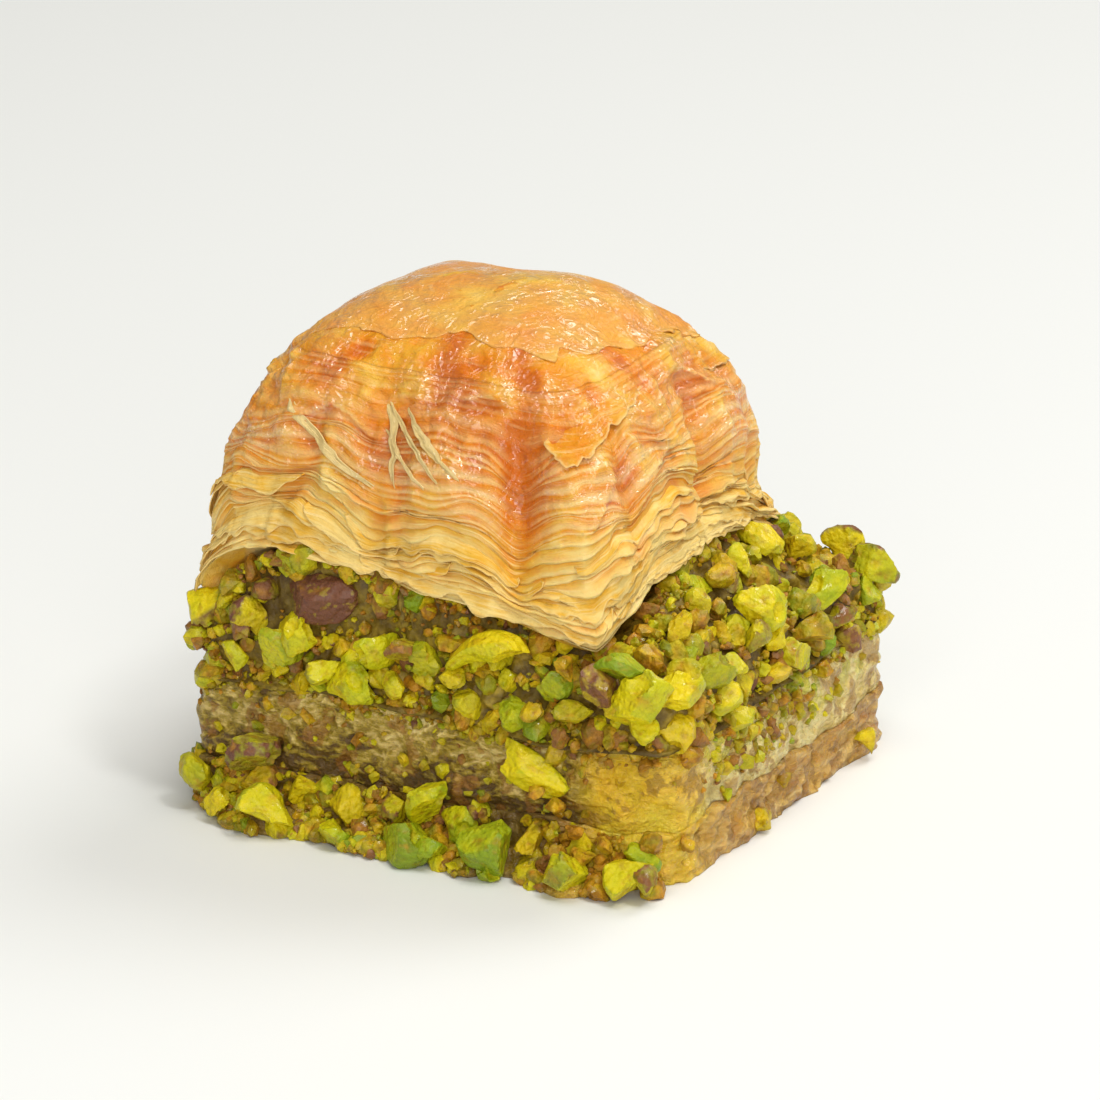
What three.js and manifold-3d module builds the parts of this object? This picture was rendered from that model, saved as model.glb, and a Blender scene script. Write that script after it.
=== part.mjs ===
// One square of pistachio baklava, as it is cut from the tray, in millimetres with +Z up.
// From the plate upwards it is four pieces that lie on each other: the syrup-soaked bottom pastry,
// a layer of set cream, a mound of chopped pistachio and a puffed crust of thin pastry leaves.
// The origin is under the middle of the whole footprint, on the face that the square rests on.
import * as THREE from "three";
import { mergeVertices } from "three/addons/utils/BufferGeometryUtils.js";
import Module from "manifold-3d";

const wasm = await Module();
wasm.setup();

// ---------------------------------------------------------------- driving dimensions
const SLAB = { x: 43.6, y: 41.2 }; // the cut square along X and Y
const SLAB_SQUARE = 18; // exponent of its squared-off outline: higher is squarer
const HEIGHT = 42.4; // plate to the top of the crust
const BOTTOM_TOP = 4.4; // where the bottom pastry ends
const CREAM_TOP = 11.0; // where the cream ends
const SHELF = 15.6; // height of the pistachio at the cut sides
const MOUND = 20.6; // height of the pistachio under the middle of the crust
const GAP = 0.3; // clearance between pieces that lie on each other
const LIP = 0.55; // thickness of the crust's lower edge
const HEEL = { out: 2.8, high: 3.2 }; // the heap of crumbs along the foot of the -Y side
const STAND = { x: 0.5, y: 1.4 }; // the slab's centre, seen from the middle of the footprint

// Places round the square are counted by u, from 0 to 4: u is a whole number at each corner, from the
// near one (+X, -Y) and anticlockwise from above, so 0 to 1 is the +X side and 3 to 4 the -Y side.

// The crust's four lower tips hang over the pistachio.
const TIPS = [
  { x: 15.3, y: -19.6, z: 19.1 },
  { x: 13.9, y: 14.0, z: 18.6 },
  { x: -20.9, y: 15.6, z: 18.6 },
  { x: -21.2, y: -19.4, z: 18.5 },
];
// Between two tips the lower edge arches up: rise is the arch's height, skew moves its top along the
// side (under 1 is nearer the first tip) and ripple is a second, shorter wave.
const ARCHES = [
  { rise: 4.4, skew: 0.95, ripple: 0.3 },
  { rise: 3.4, skew: 1.2, ripple: -0.6 },
  { rise: 3.0, skew: 0.8, ripple: 0.7 },
  { rise: 4.6, skew: 0.58, ripple: 0.8 },
];
const CRUST = {
  dome: 2.6, // exponent of the dome's profile: higher is boxier
  squareAtEdge: 9, // exponent of the plan outline at the lower edge
  squareAtTop: 3, // and at the top
  bulge: 1.1, // how far the middle of the sides swells out
  flare: 0.7, // how far the lowest leaves stand out
  tipFlare: 0.9, // and how far more the hanging tips do
  bundles: 10, // bundles of leaves that show as steps in the sides
  step: 0.38, // how far one bundle stands out from the next
  capFrom: 0.8, // where the glazed top sheet starts, as a share of the crust's height
  capLip: 0.5, // how far that sheet overlaps the leaves
  capRings: 5,
  swell: 0.3, // slow rise and fall of the glazed top
};
// Upright creases where the crust was pulled in as it puffed: deep and wide are in millimetres, top is
// the share of the crust's height where the crease ends, and lean is its drift along the side.
const CREASES = [
  { at: 3.79, deep: 1.9, wide: 1.9, top: 0.86, lean: 0.05 },
  { at: 3.47, deep: 0.8, wide: 2.2, top: 0.9, lean: -0.04 },
  { at: 3.2, deep: 0.7, wide: 1.8, top: 0.7, lean: 0.1 },
  { at: 0.22, deep: 0.9, wide: 1.6, top: 0.95, lean: -0.1 },
  { at: 0.56, deep: 1.1, wide: 2.2, top: 0.8, lean: 0.06 },
  { at: 0.84, deep: 0.6, wide: 1.5, top: 0.7, lean: -0.05 },
  { at: 1.3, deep: 1.2, wide: 2.4, top: 0.85, lean: 0.07 },
  { at: 1.72, deep: 1.4, wide: 1.9, top: 0.95, lean: -0.08 },
  { at: 2.25, deep: 0.9, wide: 1.8, top: 0.8, lean: 0.09 },
  { at: 2.6, deep: 1.3, wide: 2.4, top: 0.9, lean: -0.03 },
  { at: 2.88, deep: 0.7, wide: 1.4, top: 0.7, lean: 0.02 },
];

// Chopped pistachio. Rows of nuts lie round the cut sides, in this order: along is the first and last u,
// z the height, out how far the nut's middle stands out from the cut side, size the smallest and
// largest nut. A row on the shelf lies between the cut side (0) and the crust's edge (1).
const FOOT_ROWS = [
  { along: [2.04, 2.98], count: 8, z: 2.3, out: 0.7, size: [3.0, 4.6] },
  { along: [2.98, 3.98], count: 9, z: 3.4, out: 0.6, size: [3.2, 4.6] },
  { along: [3.06, 3.99], count: 7, z: 1.6, out: 3.0, size: [2.8, 4.2] },
  { along: [1.1, 1.95], count: 4, z: 1.4, out: 0.5, size: [2.4, 3.4] },
  { along: [0.3, 0.95], count: 2, z: 1.3, out: 0.5, size: [2.2, 2.8] },
];
const BAND_ROWS = [
  { along: [0.03, 1.0], count: 7, z: 13.6, out: -0.3, size: [3.0, 4.6] },
  { along: [1.03, 2.0], count: 8, z: 13.2, out: -0.2, size: [3.0, 4.8] },
  { along: [2.03, 3.0], count: 7, z: 13.4, out: 0.0, size: [3.0, 4.6] },
  { along: [3.03, 4.0], count: 8, z: 13.8, out: -0.2, size: [2.8, 4.2] },
  { along: [2.05, 3.95], count: 15, z: 17.0, out: -0.3, size: [3.0, 4.8] },
];
const SHELF_ROWS = [
  { along: [0.02, 1.0], count: 7, inward: 0.15, size: [3.4, 5.2] },
  { along: [0.05, 0.98], count: 6, inward: 0.7, size: [3.2, 4.8] },
  { along: [1.02, 2.0], count: 7, inward: 0.15, size: [3.4, 5.2] },
  { along: [1.0, 1.95], count: 6, inward: 0.7, size: [3.2, 4.8] },
];
// The largest nuts: length, width and depth, turned by yaw about Z and then tipped up by pitch.
const LARGE_FOOT_NUTS = [
  { x: -12.4, y: -23.8, z: 2.4, size: [5.4, 4.2, 4.2], yaw: 0.1, pitch: -0.15 },
  { x: -14.9, y: -21.8, z: 6.1, size: [5.0, 4.2, 3.6], yaw: 0.3, pitch: 0.9 },
  { x: 0.1, y: -23.4, z: 2.3, size: [5.6, 4.4, 4.2], yaw: -0.2, pitch: -0.5 },
  { x: 1.2, y: -21.9, z: 4.9, size: [4.8, 3.0, 3.0], yaw: 0.2, pitch: 1.2 },
  { x: 7.6, y: -22.8, z: 2.8, size: [5.8, 5.4, 5.0], yaw: 0.4, pitch: 0.3 },
  { x: 14.4, y: -23.9, z: 2.0, size: [5.2, 3.8, 3.8], yaw: -0.2, pitch: 0.2 },
  { x: 19.6, y: -22.4, z: 2.3, size: [4.8, 4.0, 3.8], yaw: 0.5, pitch: 0.8 },
];
const LARGE_CREAM_NUTS = [
  { x: 9.9, y: -21.3, z: 9.2, size: [7.8, 3.2, 2.8], yaw: 0.05, pitch: -0.5 },
  { x: -21.9, y: 6.0, z: 7.8, size: [5.0, 3.4, 3.0], yaw: 1.4, pitch: 0.4 },
];
const LARGE_BAND_NUTS = [
  { x: -13.3, y: -20.8, z: 15.4, size: [4.6, 4.0, 3.4], yaw: 0.2, pitch: 0.5 },
  { x: -6.2, y: -21.0, z: 13.2, size: [4.6, 3.8, 3.2], yaw: -0.2, pitch: 0.1 },
  { x: -9.9, y: -18.9, z: 19.6, size: [7.4, 3.8, 3.4], yaw: 0.05, pitch: 0.1 },
  { x: 6.9, y: -20.7, z: 17.9, size: [8.2, 3.8, 3.4], yaw: 0.0, pitch: 0.1 },
  { x: 19.3, y: -20.2, z: 16.3, size: [6.0, 4.8, 4.4], yaw: 0.5, pitch: 0.2 },
  { x: 17.3, y: -20.1, z: 18.3, size: [4.6, 2.8, 3.0], yaw: 0.3, pitch: 0.3 },
  { x: 21.3, y: -17.6, z: 16.4, size: [4.6, 4.0, 3.6], yaw: 1.3, pitch: -0.3 },
  { x: 20.6, y: 9.6, z: 16.3, size: [6.4, 4.4, 4.0], yaw: 1.2, pitch: 0.5 },
  { x: 20.4, y: -1.6, z: 18.2, size: [4.8, 4.2, 3.8], yaw: 0.6, pitch: -0.5 },
  { x: 16.2, y: -4.6, z: 19.8, size: [4.6, 3.4, 3.4], yaw: 1.5, pitch: 0.2 },
];
const NUT_ROUGHNESS = [0.74, 1.12]; // each corner of a nut lies at this share of its size, at random
const SEED = 412;
const CREAM_SEED = 413;

// Facets: columns run round the square.
const CRUST_COLUMNS = 96;
const LAYER_COLUMNS = 52;
const UNDER_RINGS = 3;

// ---------------------------------------------------------------- small tools
const TURN = 2 * Math.PI;
const lerp = (a, b, t) => a + (b - a) * t;
const clamp01 = (t) => Math.min(1, Math.max(0, t));
const smooth = (t) => clamp01(t) ** 2 * (3 - 2 * clamp01(t));
const wave = (u, waves, phase) => Math.sin((TURN * waves * u) / 4 + phase);
const steps = (count) => Array.from({ length: count }, (_, i) => i);

// A seeded source of numbers from 0 to 1, so that every build is the same.
function seeded(seed) {
  let state = seed >>> 0;
  return () => {
    state = (state + 0x6d2b79f5) >>> 0;
    let t = Math.imul(state ^ (state >>> 15), state | 1);
    t ^= t + Math.imul(t ^ (t >>> 7), t | 61);
    return ((t ^ (t >>> 14)) >>> 0) / 4294967296;
  };
}

// A point of a squared-off ring with its corners at four given places. share is 0 at the middle and 1
// on the ring, and square is the exponent of the outline.
function onRing(corners, u, square, share = 1) {
  const side = Math.floor(u) % 4;
  const along = 2 * (u - Math.floor(u)) - 1;
  const [a, b] = [[1, along], [-along, 1], [-1, -along], [along, -1]][side];
  const reach = share / (Math.abs(a) ** square + Math.abs(b) ** square) ** (1 / square);
  const [p, q] = [a * reach, b * reach];
  const weights = [(1 + p) * (1 - q), (1 + p) * (1 + q), (1 - p) * (1 + q), (1 - p) * (1 - q)];
  const mix = (axis) => corners.reduce((sum, corner, k) => sum + (corner[axis] * weights[k]) / 4, 0);
  return { x: mix("x"), y: mix("y") };
}

const ringOf = (columns, point) => steps(columns).map((i) => point((4 * i) / columns));

// A closed solid from rings of points, from the pole below to the pole above, each ring anticlockwise.
function loft(below, rings, above) {
  const positions = [below, ...rings.flat(), above].flatMap((p) => [p.x, p.y, p.z]);
  const columns = rings[0].length;
  const last = rings.length - 1;
  const at = (ring, column) => 1 + ring * columns + (column % columns);
  const index = [];
  for (let i = 0; i < columns; i++) {
    index.push(0, at(0, i + 1), at(0, i));
    index.push(1 + rings.length * columns, at(last, i), at(last, i + 1));
    for (let r = 0; r < last; r++) {
      index.push(at(r, i), at(r, i + 1), at(r + 1, i + 1));
      index.push(at(r, i), at(r + 1, i + 1), at(r + 1, i));
    }
  }
  const geometry = new THREE.BufferGeometry();
  geometry.setAttribute("position", new THREE.Float32BufferAttribute(positions, 3));
  geometry.setIndex(index);
  return geometry;
}

// A geometry with positions alone, whose corners that lie in one place are one.
function bare(geometry) {
  geometry.deleteAttribute("normal");
  geometry.deleteAttribute("uv");
  return mergeVertices(geometry, 1e-4);
}

// A manifold-3d solid of a closed geometry, and a geometry of such a solid.
function solidOf(geometry) {
  const vertProperties = new Float32Array(geometry.attributes.position.array);
  const triVerts = new Uint32Array(geometry.index.array);
  return new wasm.Manifold(new wasm.Mesh({ numProp: 3, vertProperties, triVerts }));
}

function geometryOf(solid) {
  const mesh = solid.getMesh();
  const geometry = new THREE.BufferGeometry();
  geometry.setAttribute("position", new THREE.Float32BufferAttribute(mesh.vertProperties, 3));
  geometry.setIndex(new THREE.Uint32BufferAttribute(mesh.triVerts, 1));
  geometry.computeVertexNormals();
  return geometry;
}

// The largest body of a solid: what a cut leaves loose is dropped.
function largest(solid) {
  return solid.decompose().reduce((best, body) => (body.volume() > best.volume() ? body : best));
}

// ---------------------------------------------------------------- outlines and heights
const SLAB_CORNERS = [
  { x: SLAB.x / 2, y: -SLAB.y / 2 },
  { x: SLAB.x / 2, y: SLAB.y / 2 },
  { x: -SLAB.x / 2, y: SLAB.y / 2 },
  { x: -SLAB.x / 2, y: -SLAB.y / 2 },
];
const CRUST_MIDDLE = onRing(TIPS, 0, 1, 0);

function movedOut(p, middle, out) {
  const reach = Math.max(Math.hypot(p.x - middle.x, p.y - middle.y), 4);
  return {
    x: p.x + ((p.x - middle.x) * out) / reach,
    y: p.y + ((p.y - middle.y) * out) / reach,
  };
}

// A place on the cut side, which isn't quite flat.
function onSlab(u, z, out = 0) {
  const wobble = 0.16 * wave(u, 14, 0.7 * z) + 0.13 * wave(u, 23, 2.1 - 0.9 * z) + 0.1 * Math.sin(1.9 * z);
  return { ...movedOut(onRing(SLAB_CORNERS, u, SLAB_SQUARE), { x: 0, y: 0 }, wobble + out), z };
}

// The bottom pastry's side has crumbs heaped against it on the -Y side.
function onHeel(u, z) {
  const side = onSlab(u, z);
  const alongSide = smooth((u - 3.02) / 0.1) * smooth((4 - u) / 0.1);
  const heap = HEEL.out * (1 + 0.25 * wave(u, 19, 0.5)) * smooth(1 - z / HEEL.high);
  return { ...side, y: side.y - alongSide * heap };
}

// Height of the crust's lower edge: the tips hang, and the edge arches up between them.
function edgeHeight(u) {
  const side = Math.floor(u) % 4;
  const s = u - Math.floor(u);
  const arch = ARCHES[side];
  const hanging = lerp(TIPS[side].z, TIPS[(side + 1) % 4].z, smooth(s));
  const bow = Math.sin(Math.PI * s ** arch.skew) ** 1.1;
  return hanging + bow * (arch.rise + arch.ripple * Math.sin(1.5 * TURN * s));
}

// The top of the pistachio under the crust, where share is 0 at the crust's middle and 1 at its edge.
const moundHeight = (u, share) => lerp(MOUND, edgeHeight(u) - GAP - LIP, smooth(share));

// ---------------------------------------------------------------- the crust
function creaseDepth(u, rise) {
  const millimetresPerSide = 36;
  return CREASES.reduce((sum, crease) => {
    const apart = ((((u - crease.at - crease.lean * rise) % 4) + 6) % 4) - 2;
    const across = Math.exp(-(((apart * millimetresPerSide) / crease.wide) ** 2));
    const upward = smooth((crease.top - rise) / 0.3) * lerp(0.4, 1, smooth(rise / 0.25));
    return sum + crease.deep * across * upward;
  }, 0);
}

// How far a bundle of leaves stands out from the next: each has slow waves of its own.
function bundleReach(k, u) {
  const slow = 0.7 * wave(u, 3 + (k % 3), 2.4 * k);
  const quick = 0.6 * wave(u, 8 + ((3 * k) % 5), 4.1 * k);
  return (k % 2 ? 0.5 : -0.5) + slow + quick;
}

// A place on the crust's skin. rise is 0 at the lower edge and 1 at the top, share is 1 at the sides and
// 0 at the middle of the top, and stand is how far the leaf there stands out.
function onCrust(u, rise, share, stand) {
  const square = lerp(CRUST.squareAtEdge, CRUST.squareAtTop, rise ** 1.6);
  const toCorner = Math.abs(u - Math.round(u));
  const tip = CRUST.tipFlare * Math.exp(-((toCorner / 0.09) ** 2));
  const flare = (CRUST.flare + tip) * (1 - clamp01(rise / 0.2)) ** 2;
  const bulge = CRUST.bulge * Math.sin(Math.PI * clamp01(rise / 0.85));
  const out = stand + flare + bulge - creaseDepth(u, rise) * clamp01(2 * share - 0.4);
  const ring = onRing(TIPS, u, square, share);
  const flat = movedOut(ring, CRUST_MIDDLE, out * clamp01(share * 1.5));
  const swell = CRUST.swell * (Math.sin(0.42 * flat.x + 0.9) + Math.cos(0.37 * flat.y - 0.16 * flat.x) - 1);
  return { ...flat, z: lerp(edgeHeight(u), HEIGHT + swell, rise) };
}

const shareAt = (rise) => (1 - rise ** CRUST.dome) ** (1 / CRUST.dome);
const riseAt = (share) => (1 - share ** CRUST.dome) ** (1 / CRUST.dome);

function crustGeometry(grow = 0) {
  const underside = steps(UNDER_RINGS).map((r) => {
    const share = (r + 1) / UNDER_RINGS;
    return ringOf(CRUST_COLUMNS, (u) => ({
      ...movedOut(onRing(TIPS, u, CRUST.squareAtEdge, share * 0.985), CRUST_MIDDLE, grow),
      z: moundHeight(u, share) + GAP - grow,
    }));
  });
  const sides = steps(2 * CRUST.bundles).map((r) => {
    const k = Math.floor(r / 2);
    const top = r % 2; // each bundle has a ring at its lower and one at its upper side
    return ringOf(CRUST_COLUMNS, (u) => {
      const dip = 0.012 * wave(u, 7, 1.3 * (k + top)) * Math.min(k + top, 1);
      const rise = (CRUST.capFrom * (k + 0.06 + 0.88 * top)) / CRUST.bundles + dip;
      const stand = CRUST.step * bundleReach(k, u) - 0.2 * top + grow;
      return onCrust(u, rise, shareAt(rise), stand);
    });
  });
  const capShare = shareAt(CRUST.capFrom);
  const cap = steps(CRUST.capRings).map((r) => {
    const share = capShare * (1 - r / CRUST.capRings);
    const lip = CRUST.capLip * (r ? 0.6 : 1);
    return ringOf(CRUST_COLUMNS, (u) => {
      const point = onCrust(u, riseAt(share), share, lip + grow);
      return { ...point, z: point.z + grow };
    });
  });
  const bottom = { ...CRUST_MIDDLE, z: MOUND + GAP - grow };
  const top = { ...CRUST_MIDDLE, z: onCrust(0, 1, 0, 0).z + grow };
  return loft(bottom, [...underside, ...sides, ...cap], top);
}

// ---------------------------------------------------------------- the layers under it
function layerGeometry(low, high, grow = 0) {
  const sides = steps(4).map((r) => {
    const z = lerp(low - grow, high + grow, r / 3);
    return ringOf(LAYER_COLUMNS, (u) => onSlab(u, z, grow));
  });
  return loft({ x: 0, y: 0, z: low - grow }, sides, { x: 0, y: 0, z: high + grow });
}

function bottomGeometry() {
  const sides = [0, 0.25, 0.5, 1].map((t) => ringOf(LAYER_COLUMNS, (u) => onHeel(u, BOTTOM_TOP * t)));
  return loft({ x: 0, y: 0, z: 0 }, sides, { x: 0, y: 0, z: BOTTOM_TOP });
}

// How far out a place at this share of the slab is, as a share of the crust's edge.
function underCrust(u, p) {
  const edge = onRing(TIPS, u, CRUST.squareAtEdge);
  return (
    Math.hypot(p.x - CRUST_MIDDLE.x, p.y - CRUST_MIDDLE.y) /
    Math.hypot(edge.x - CRUST_MIDDLE.x, edge.y - CRUST_MIDDLE.y)
  );
}

// The pistachio's own surface: it meets the crust's edge and slopes down to the shelf outside it.
function onMound(u, inward) {
  const rim = onSlab(u, SHELF);
  const p = { x: lerp(rim.x, CRUST_MIDDLE.x, inward), y: lerp(rim.y, CRUST_MIDDLE.y, inward) };
  const share = underCrust(u, p);
  const rimShare = Math.max(underCrust(u, rim), 1.02);
  if (share < 1) {
    return { ...p, z: moundHeight(u, share) };
  }
  const fall = smooth((share - 1) / (rimShare - 1));
  return { ...p, z: lerp(moundHeight(u, 1), SHELF, fall) };
}

function moundGeometry() {
  const low = CREAM_TOP + GAP;
  const sides = [low, lerp(low, SHELF, 0.5)].map((z) => ringOf(LAYER_COLUMNS, (u) => onSlab(u, z)));
  const inwards = [0, 0.06, 0.13, 0.22, 0.36, 0.52, 0.76]; // closer together where the shelf slopes
  const top = inwards.map((inward) => ringOf(LAYER_COLUMNS, (u) => onMound(u, inward)));
  return loft({ ...CRUST_MIDDLE, z: low }, [...sides, ...top], { ...CRUST_MIDDLE, z: MOUND });
}

// ---------------------------------------------------------------- chopped nuts
const NUT_SHAPE = bare(new THREE.IcosahedronGeometry(1, 0));

// One chopped nut, a lump with twenty faces. Its depth is roughly across the side that it lies on.
function nut({ x, y, z, size, yaw, pitch }, draw) {
  const turn = new THREE.Quaternion().setFromEuler(new THREE.Euler(0, -pitch, yaw, "ZYX"));
  const half = new THREE.Vector3(size[0] / 2, size[2] / 2, size[1] / 2);
  const place = new THREE.Vector3(x, y, z);
  const shape = NUT_SHAPE.clone();
  const corner = new THREE.Vector3();
  for (let i = 0; i < shape.attributes.position.count; i++) {
    corner.fromBufferAttribute(shape.attributes.position, i);
    corner.multiplyScalar(lerp(...NUT_ROUGHNESS, draw())).multiply(half).applyQuaternion(turn).add(place);
    shape.attributes.position.setXYZ(i, corner.x, corner.y, corner.z);
  }
  return solidOf(shape);
}

// The nuts of one row, evenly spread along it and then moved, sized and turned at random.
function nutRow({ along, count, size }, placeAt, draw) {
  return steps(count).map((i) => {
    const u = lerp(along[0], along[1], (i + 0.5 + 0.5 * (draw() - 0.5)) / count);
    const place = placeAt(u, draw);
    const length = lerp(...size, draw());
    const width = length * lerp(0.7, 0.95, draw());
    const depth = length * lerp(0.65, 0.9, draw());
    const yaw = TURN * draw();
    const pitch = lerp(-1, 1, draw());
    return nut({ ...place, size: [length, width, depth], yaw, pitch }, draw);
  });
}

const onSide = (row) => (u, draw) => onSlab(u, row.z + 1.2 * (draw() - 0.5), row.out + 0.8 * (draw() - 0.5));

const onShelf = (row) => (u, draw) => {
  const edge = onSlab(u, SHELF);
  const rimShare = underCrust(u, edge);
  const inward = ((rimShare - 1) / rimShare) * (row.inward + 0.2 * (draw() - 0.5));
  const p = onMound(u, inward);
  return { ...p, z: p.z + 0.9 * draw() };
};

// ---------------------------------------------------------------- build
// The nuts on the cream, also grown all round so that the pieces next to them can be cut clear.
function creamNuts(grow = 0) {
  const draw = seeded(CREAM_SEED);
  return LARGE_CREAM_NUTS.map((large) => nut({ ...large, size: large.size.map((s) => s + 2 * grow) }, draw));
}

// The cream layer, or with grow the space round it that its neighbours keep clear of.
function creamSolid(grow = 0) {
  const layer = solidOf(layerGeometry(BOTTOM_TOP + GAP, CREAM_TOP, grow));
  return wasm.Manifold.union([layer, ...creamNuts(grow)]);
}

const draw = seeded(SEED);
const footNuts = [
  ...LARGE_FOOT_NUTS.map((large) => nut(large, draw)),
  ...FOOT_ROWS.flatMap((row) => nutRow(row, onSide(row), draw)),
];
const fillingNuts = [
  ...LARGE_BAND_NUTS.map((large) => nut(large, draw)),
  ...BAND_ROWS.flatMap((row) => nutRow(row, onSide(row), draw)),
  ...SHELF_ROWS.flatMap((row) => nutRow(row, onShelf(row), draw)),
];

const crust = solidOf(crustGeometry());
const roundCrust = solidOf(crustGeometry(GAP));
const roundCream = creamSolid(GAP);
const below = new THREE.BoxGeometry(2 * SLAB.x, 2 * SLAB.y, HEIGHT).translate(0, 0, -HEIGHT / 2);
const bottom = wasm.Manifold.union([solidOf(bottomGeometry()), ...footNuts])
  .subtract(roundCream)
  .subtract(solidOf(bare(below)));
const filling = wasm.Manifold.union([solidOf(moundGeometry()), ...fillingNuts])
  .subtract(roundCream)
  .subtract(roundCrust);

function piece(name, solid, color, roughness) {
  const material = new THREE.MeshStandardMaterial({ color, roughness, metalness: 0 });
  const mesh = new THREE.Mesh(geometryOf(largest(solid)), material);
  mesh.name = name;
  return mesh;
}

const baklava = new THREE.Group();
baklava.add(piece("bottom_pastry", bottom, 0xb07a3c, 0.4));
baklava.add(piece("cream_layer", creamSolid(), 0xc9b266, 0.3));
baklava.add(piece("pistachio_filling", filling, 0x93a02c, 0.6));
baklava.add(piece("pastry_crust", crust, 0xdb9a45, 0.35));
baklava.position.set(STAND.x, STAND.y, 0);

export default baklava;
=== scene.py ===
"""One square of pistachio baklava: soaked pastry, set cream, chopped pistachio and a puffed crust."""
import math

import bpy
import numpy as np
from bpy.props import FloatProperty, FloatVectorProperty, IntProperty, PointerProperty
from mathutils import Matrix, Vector


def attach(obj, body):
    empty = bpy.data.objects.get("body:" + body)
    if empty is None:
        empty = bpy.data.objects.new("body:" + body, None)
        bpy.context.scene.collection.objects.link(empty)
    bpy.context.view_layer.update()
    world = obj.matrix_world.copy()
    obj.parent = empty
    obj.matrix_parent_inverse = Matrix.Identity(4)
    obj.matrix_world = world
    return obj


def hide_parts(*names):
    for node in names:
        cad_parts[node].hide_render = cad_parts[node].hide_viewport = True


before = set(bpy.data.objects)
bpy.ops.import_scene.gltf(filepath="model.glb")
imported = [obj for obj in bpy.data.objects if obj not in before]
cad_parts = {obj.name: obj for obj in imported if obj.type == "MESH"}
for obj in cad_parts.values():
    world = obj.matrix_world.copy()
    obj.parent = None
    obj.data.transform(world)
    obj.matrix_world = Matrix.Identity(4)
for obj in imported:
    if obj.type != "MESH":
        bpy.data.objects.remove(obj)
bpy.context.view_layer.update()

bl_info = {
    "name": "Baklava piece",
    "version": (1, 0, 0),
    "blender": (4, 5, 0),
    "location": "3D View > Sidebar > Baklava",
    "description": "A square of pistachio baklava with a puffed crust of thin leaves",
    "category": "Add Mesh",
}

# ---------------------------------------------------------------- driving dimensions, in millimetres
MM = 0.001
SLAB_X, SLAB_Y = 43.6, 41.2  # the cut square
SLAB_SQUARE = 18  # exponent of its squared-off outline
HEIGHT = 42.4  # plate to the top of the crust
BOTTOM_TOP = 4.4
CREAM_TOP = 11.0
SHELF = 15.6  # height of the pistachio at the cut sides
MOUND = 20.6  # height of the pistachio under the middle of the crust
GAP = 0.3  # between one layer and the next
LIP = 0.55  # thickness of the crust's lower edge
CORE_MIDDLE = np.array([0.0, 0.0, 14.0])  # of the pistachio, from which its relief points away
HEEL_OUT, HEEL_HIGH = 2.8, 3.2  # crumbs heaped along the foot of the -Y side
STAND = np.array([0.5, 1.4, 0.0])  # the slab's centre in the frame
SEAM = 0.14  # how far each layer reaches into the gap next to it

# Places round the square are counted by u, from 0 to 4: u is a whole number at each corner, from the
# near one (+X, -Y) and anticlockwise from above, so 0 to 1 is the +X side and 3 to 4 the -Y side.
# The crust's corners, where its lower edge hangs: x, y and height. On each side the edge arches up
# between them: its rise, its lean, which is to the side's first corner below 1, and its ripple.
TIPS = np.array([[15.3, -19.6, 19.1], [13.9, 14.0, 18.6], [-20.9, 15.6, 18.6], [-21.2, -19.4, 18.5]])
ARCH_RISE = np.array([4.4, 3.4, 3.0, 4.6])
ARCH_SKEW = np.array([0.95, 1.2, 0.8, 0.58])
ARCH_RIPPLE = np.array([0.3, -0.6, 0.7, 0.8])
SLAB_CORNERS = np.array([[1, -1, 0], [1, 1, 0], [-1, 1, 0], [-1, -1, 0]]) * [SLAB_X / 2, SLAB_Y / 2, 1]
CRUST_MIDDLE = TIPS[:, :2].mean(axis=0)
DOME = 2.6  # exponent of the crust's profile
SQUARE_AT_EDGE, SQUARE_AT_TOP = 9, 3  # exponents of its squared-off outline
BULGE, FLARE, TIP_FLARE = 1.1, 0.7, 0.9  # how far its sides swell, and its foot and its tips spread
BUNDLES, BUNDLE_STEP = 10, 0.38  # bundles that the leaves lie in, and how far they stand out unevenly
CAP_FROM = 0.8  # where the leaves end and the glazed top begins, as a share of the crust's height
CAP_LIP = 0.3  # how far the glazed skin stands out at the last leaves
SWELL = 0.2  # of the uneven top
SIDE_LENGTH = 36  # of the crust, corner to corner
EDGE_HEIGHT = 21.0  # middle height of the crust's lower edge
CRUST_RISE = HEIGHT - EDGE_HEIGHT
DEEP_CREASE = 1.5  # depth from which a crease's painted shade is at its darkest

# Upright creases: place, depth, width, the share of the height where it ends, and drift along the side.
CREASES = [
    (3.79, 1.9, 1.9, 0.86, 0.05), (3.47, 0.8, 2.2, 0.9, -0.04), (3.2, 0.7, 1.8, 0.7, 0.1),
    (0.22, 0.9, 1.6, 0.95, -0.1), (0.56, 1.1, 2.2, 0.8, 0.06), (0.84, 0.6, 1.5, 0.7, -0.05),
    (1.3, 1.2, 2.4, 0.85, 0.07), (1.72, 1.4, 1.9, 0.95, -0.08), (2.25, 0.9, 1.8, 0.8, 0.09),
    (2.6, 1.3, 2.4, 0.9, -0.03), (2.88, 0.7, 1.4, 0.7, 0.02),
]

# The crust's leaves and the rings of its mesh.
LEAVES = 30
LEAF_RINGS = 5
UNDER_RINGS = 6
CAP_RINGS = 24
CRUST_COLUMNS = 520

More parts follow.
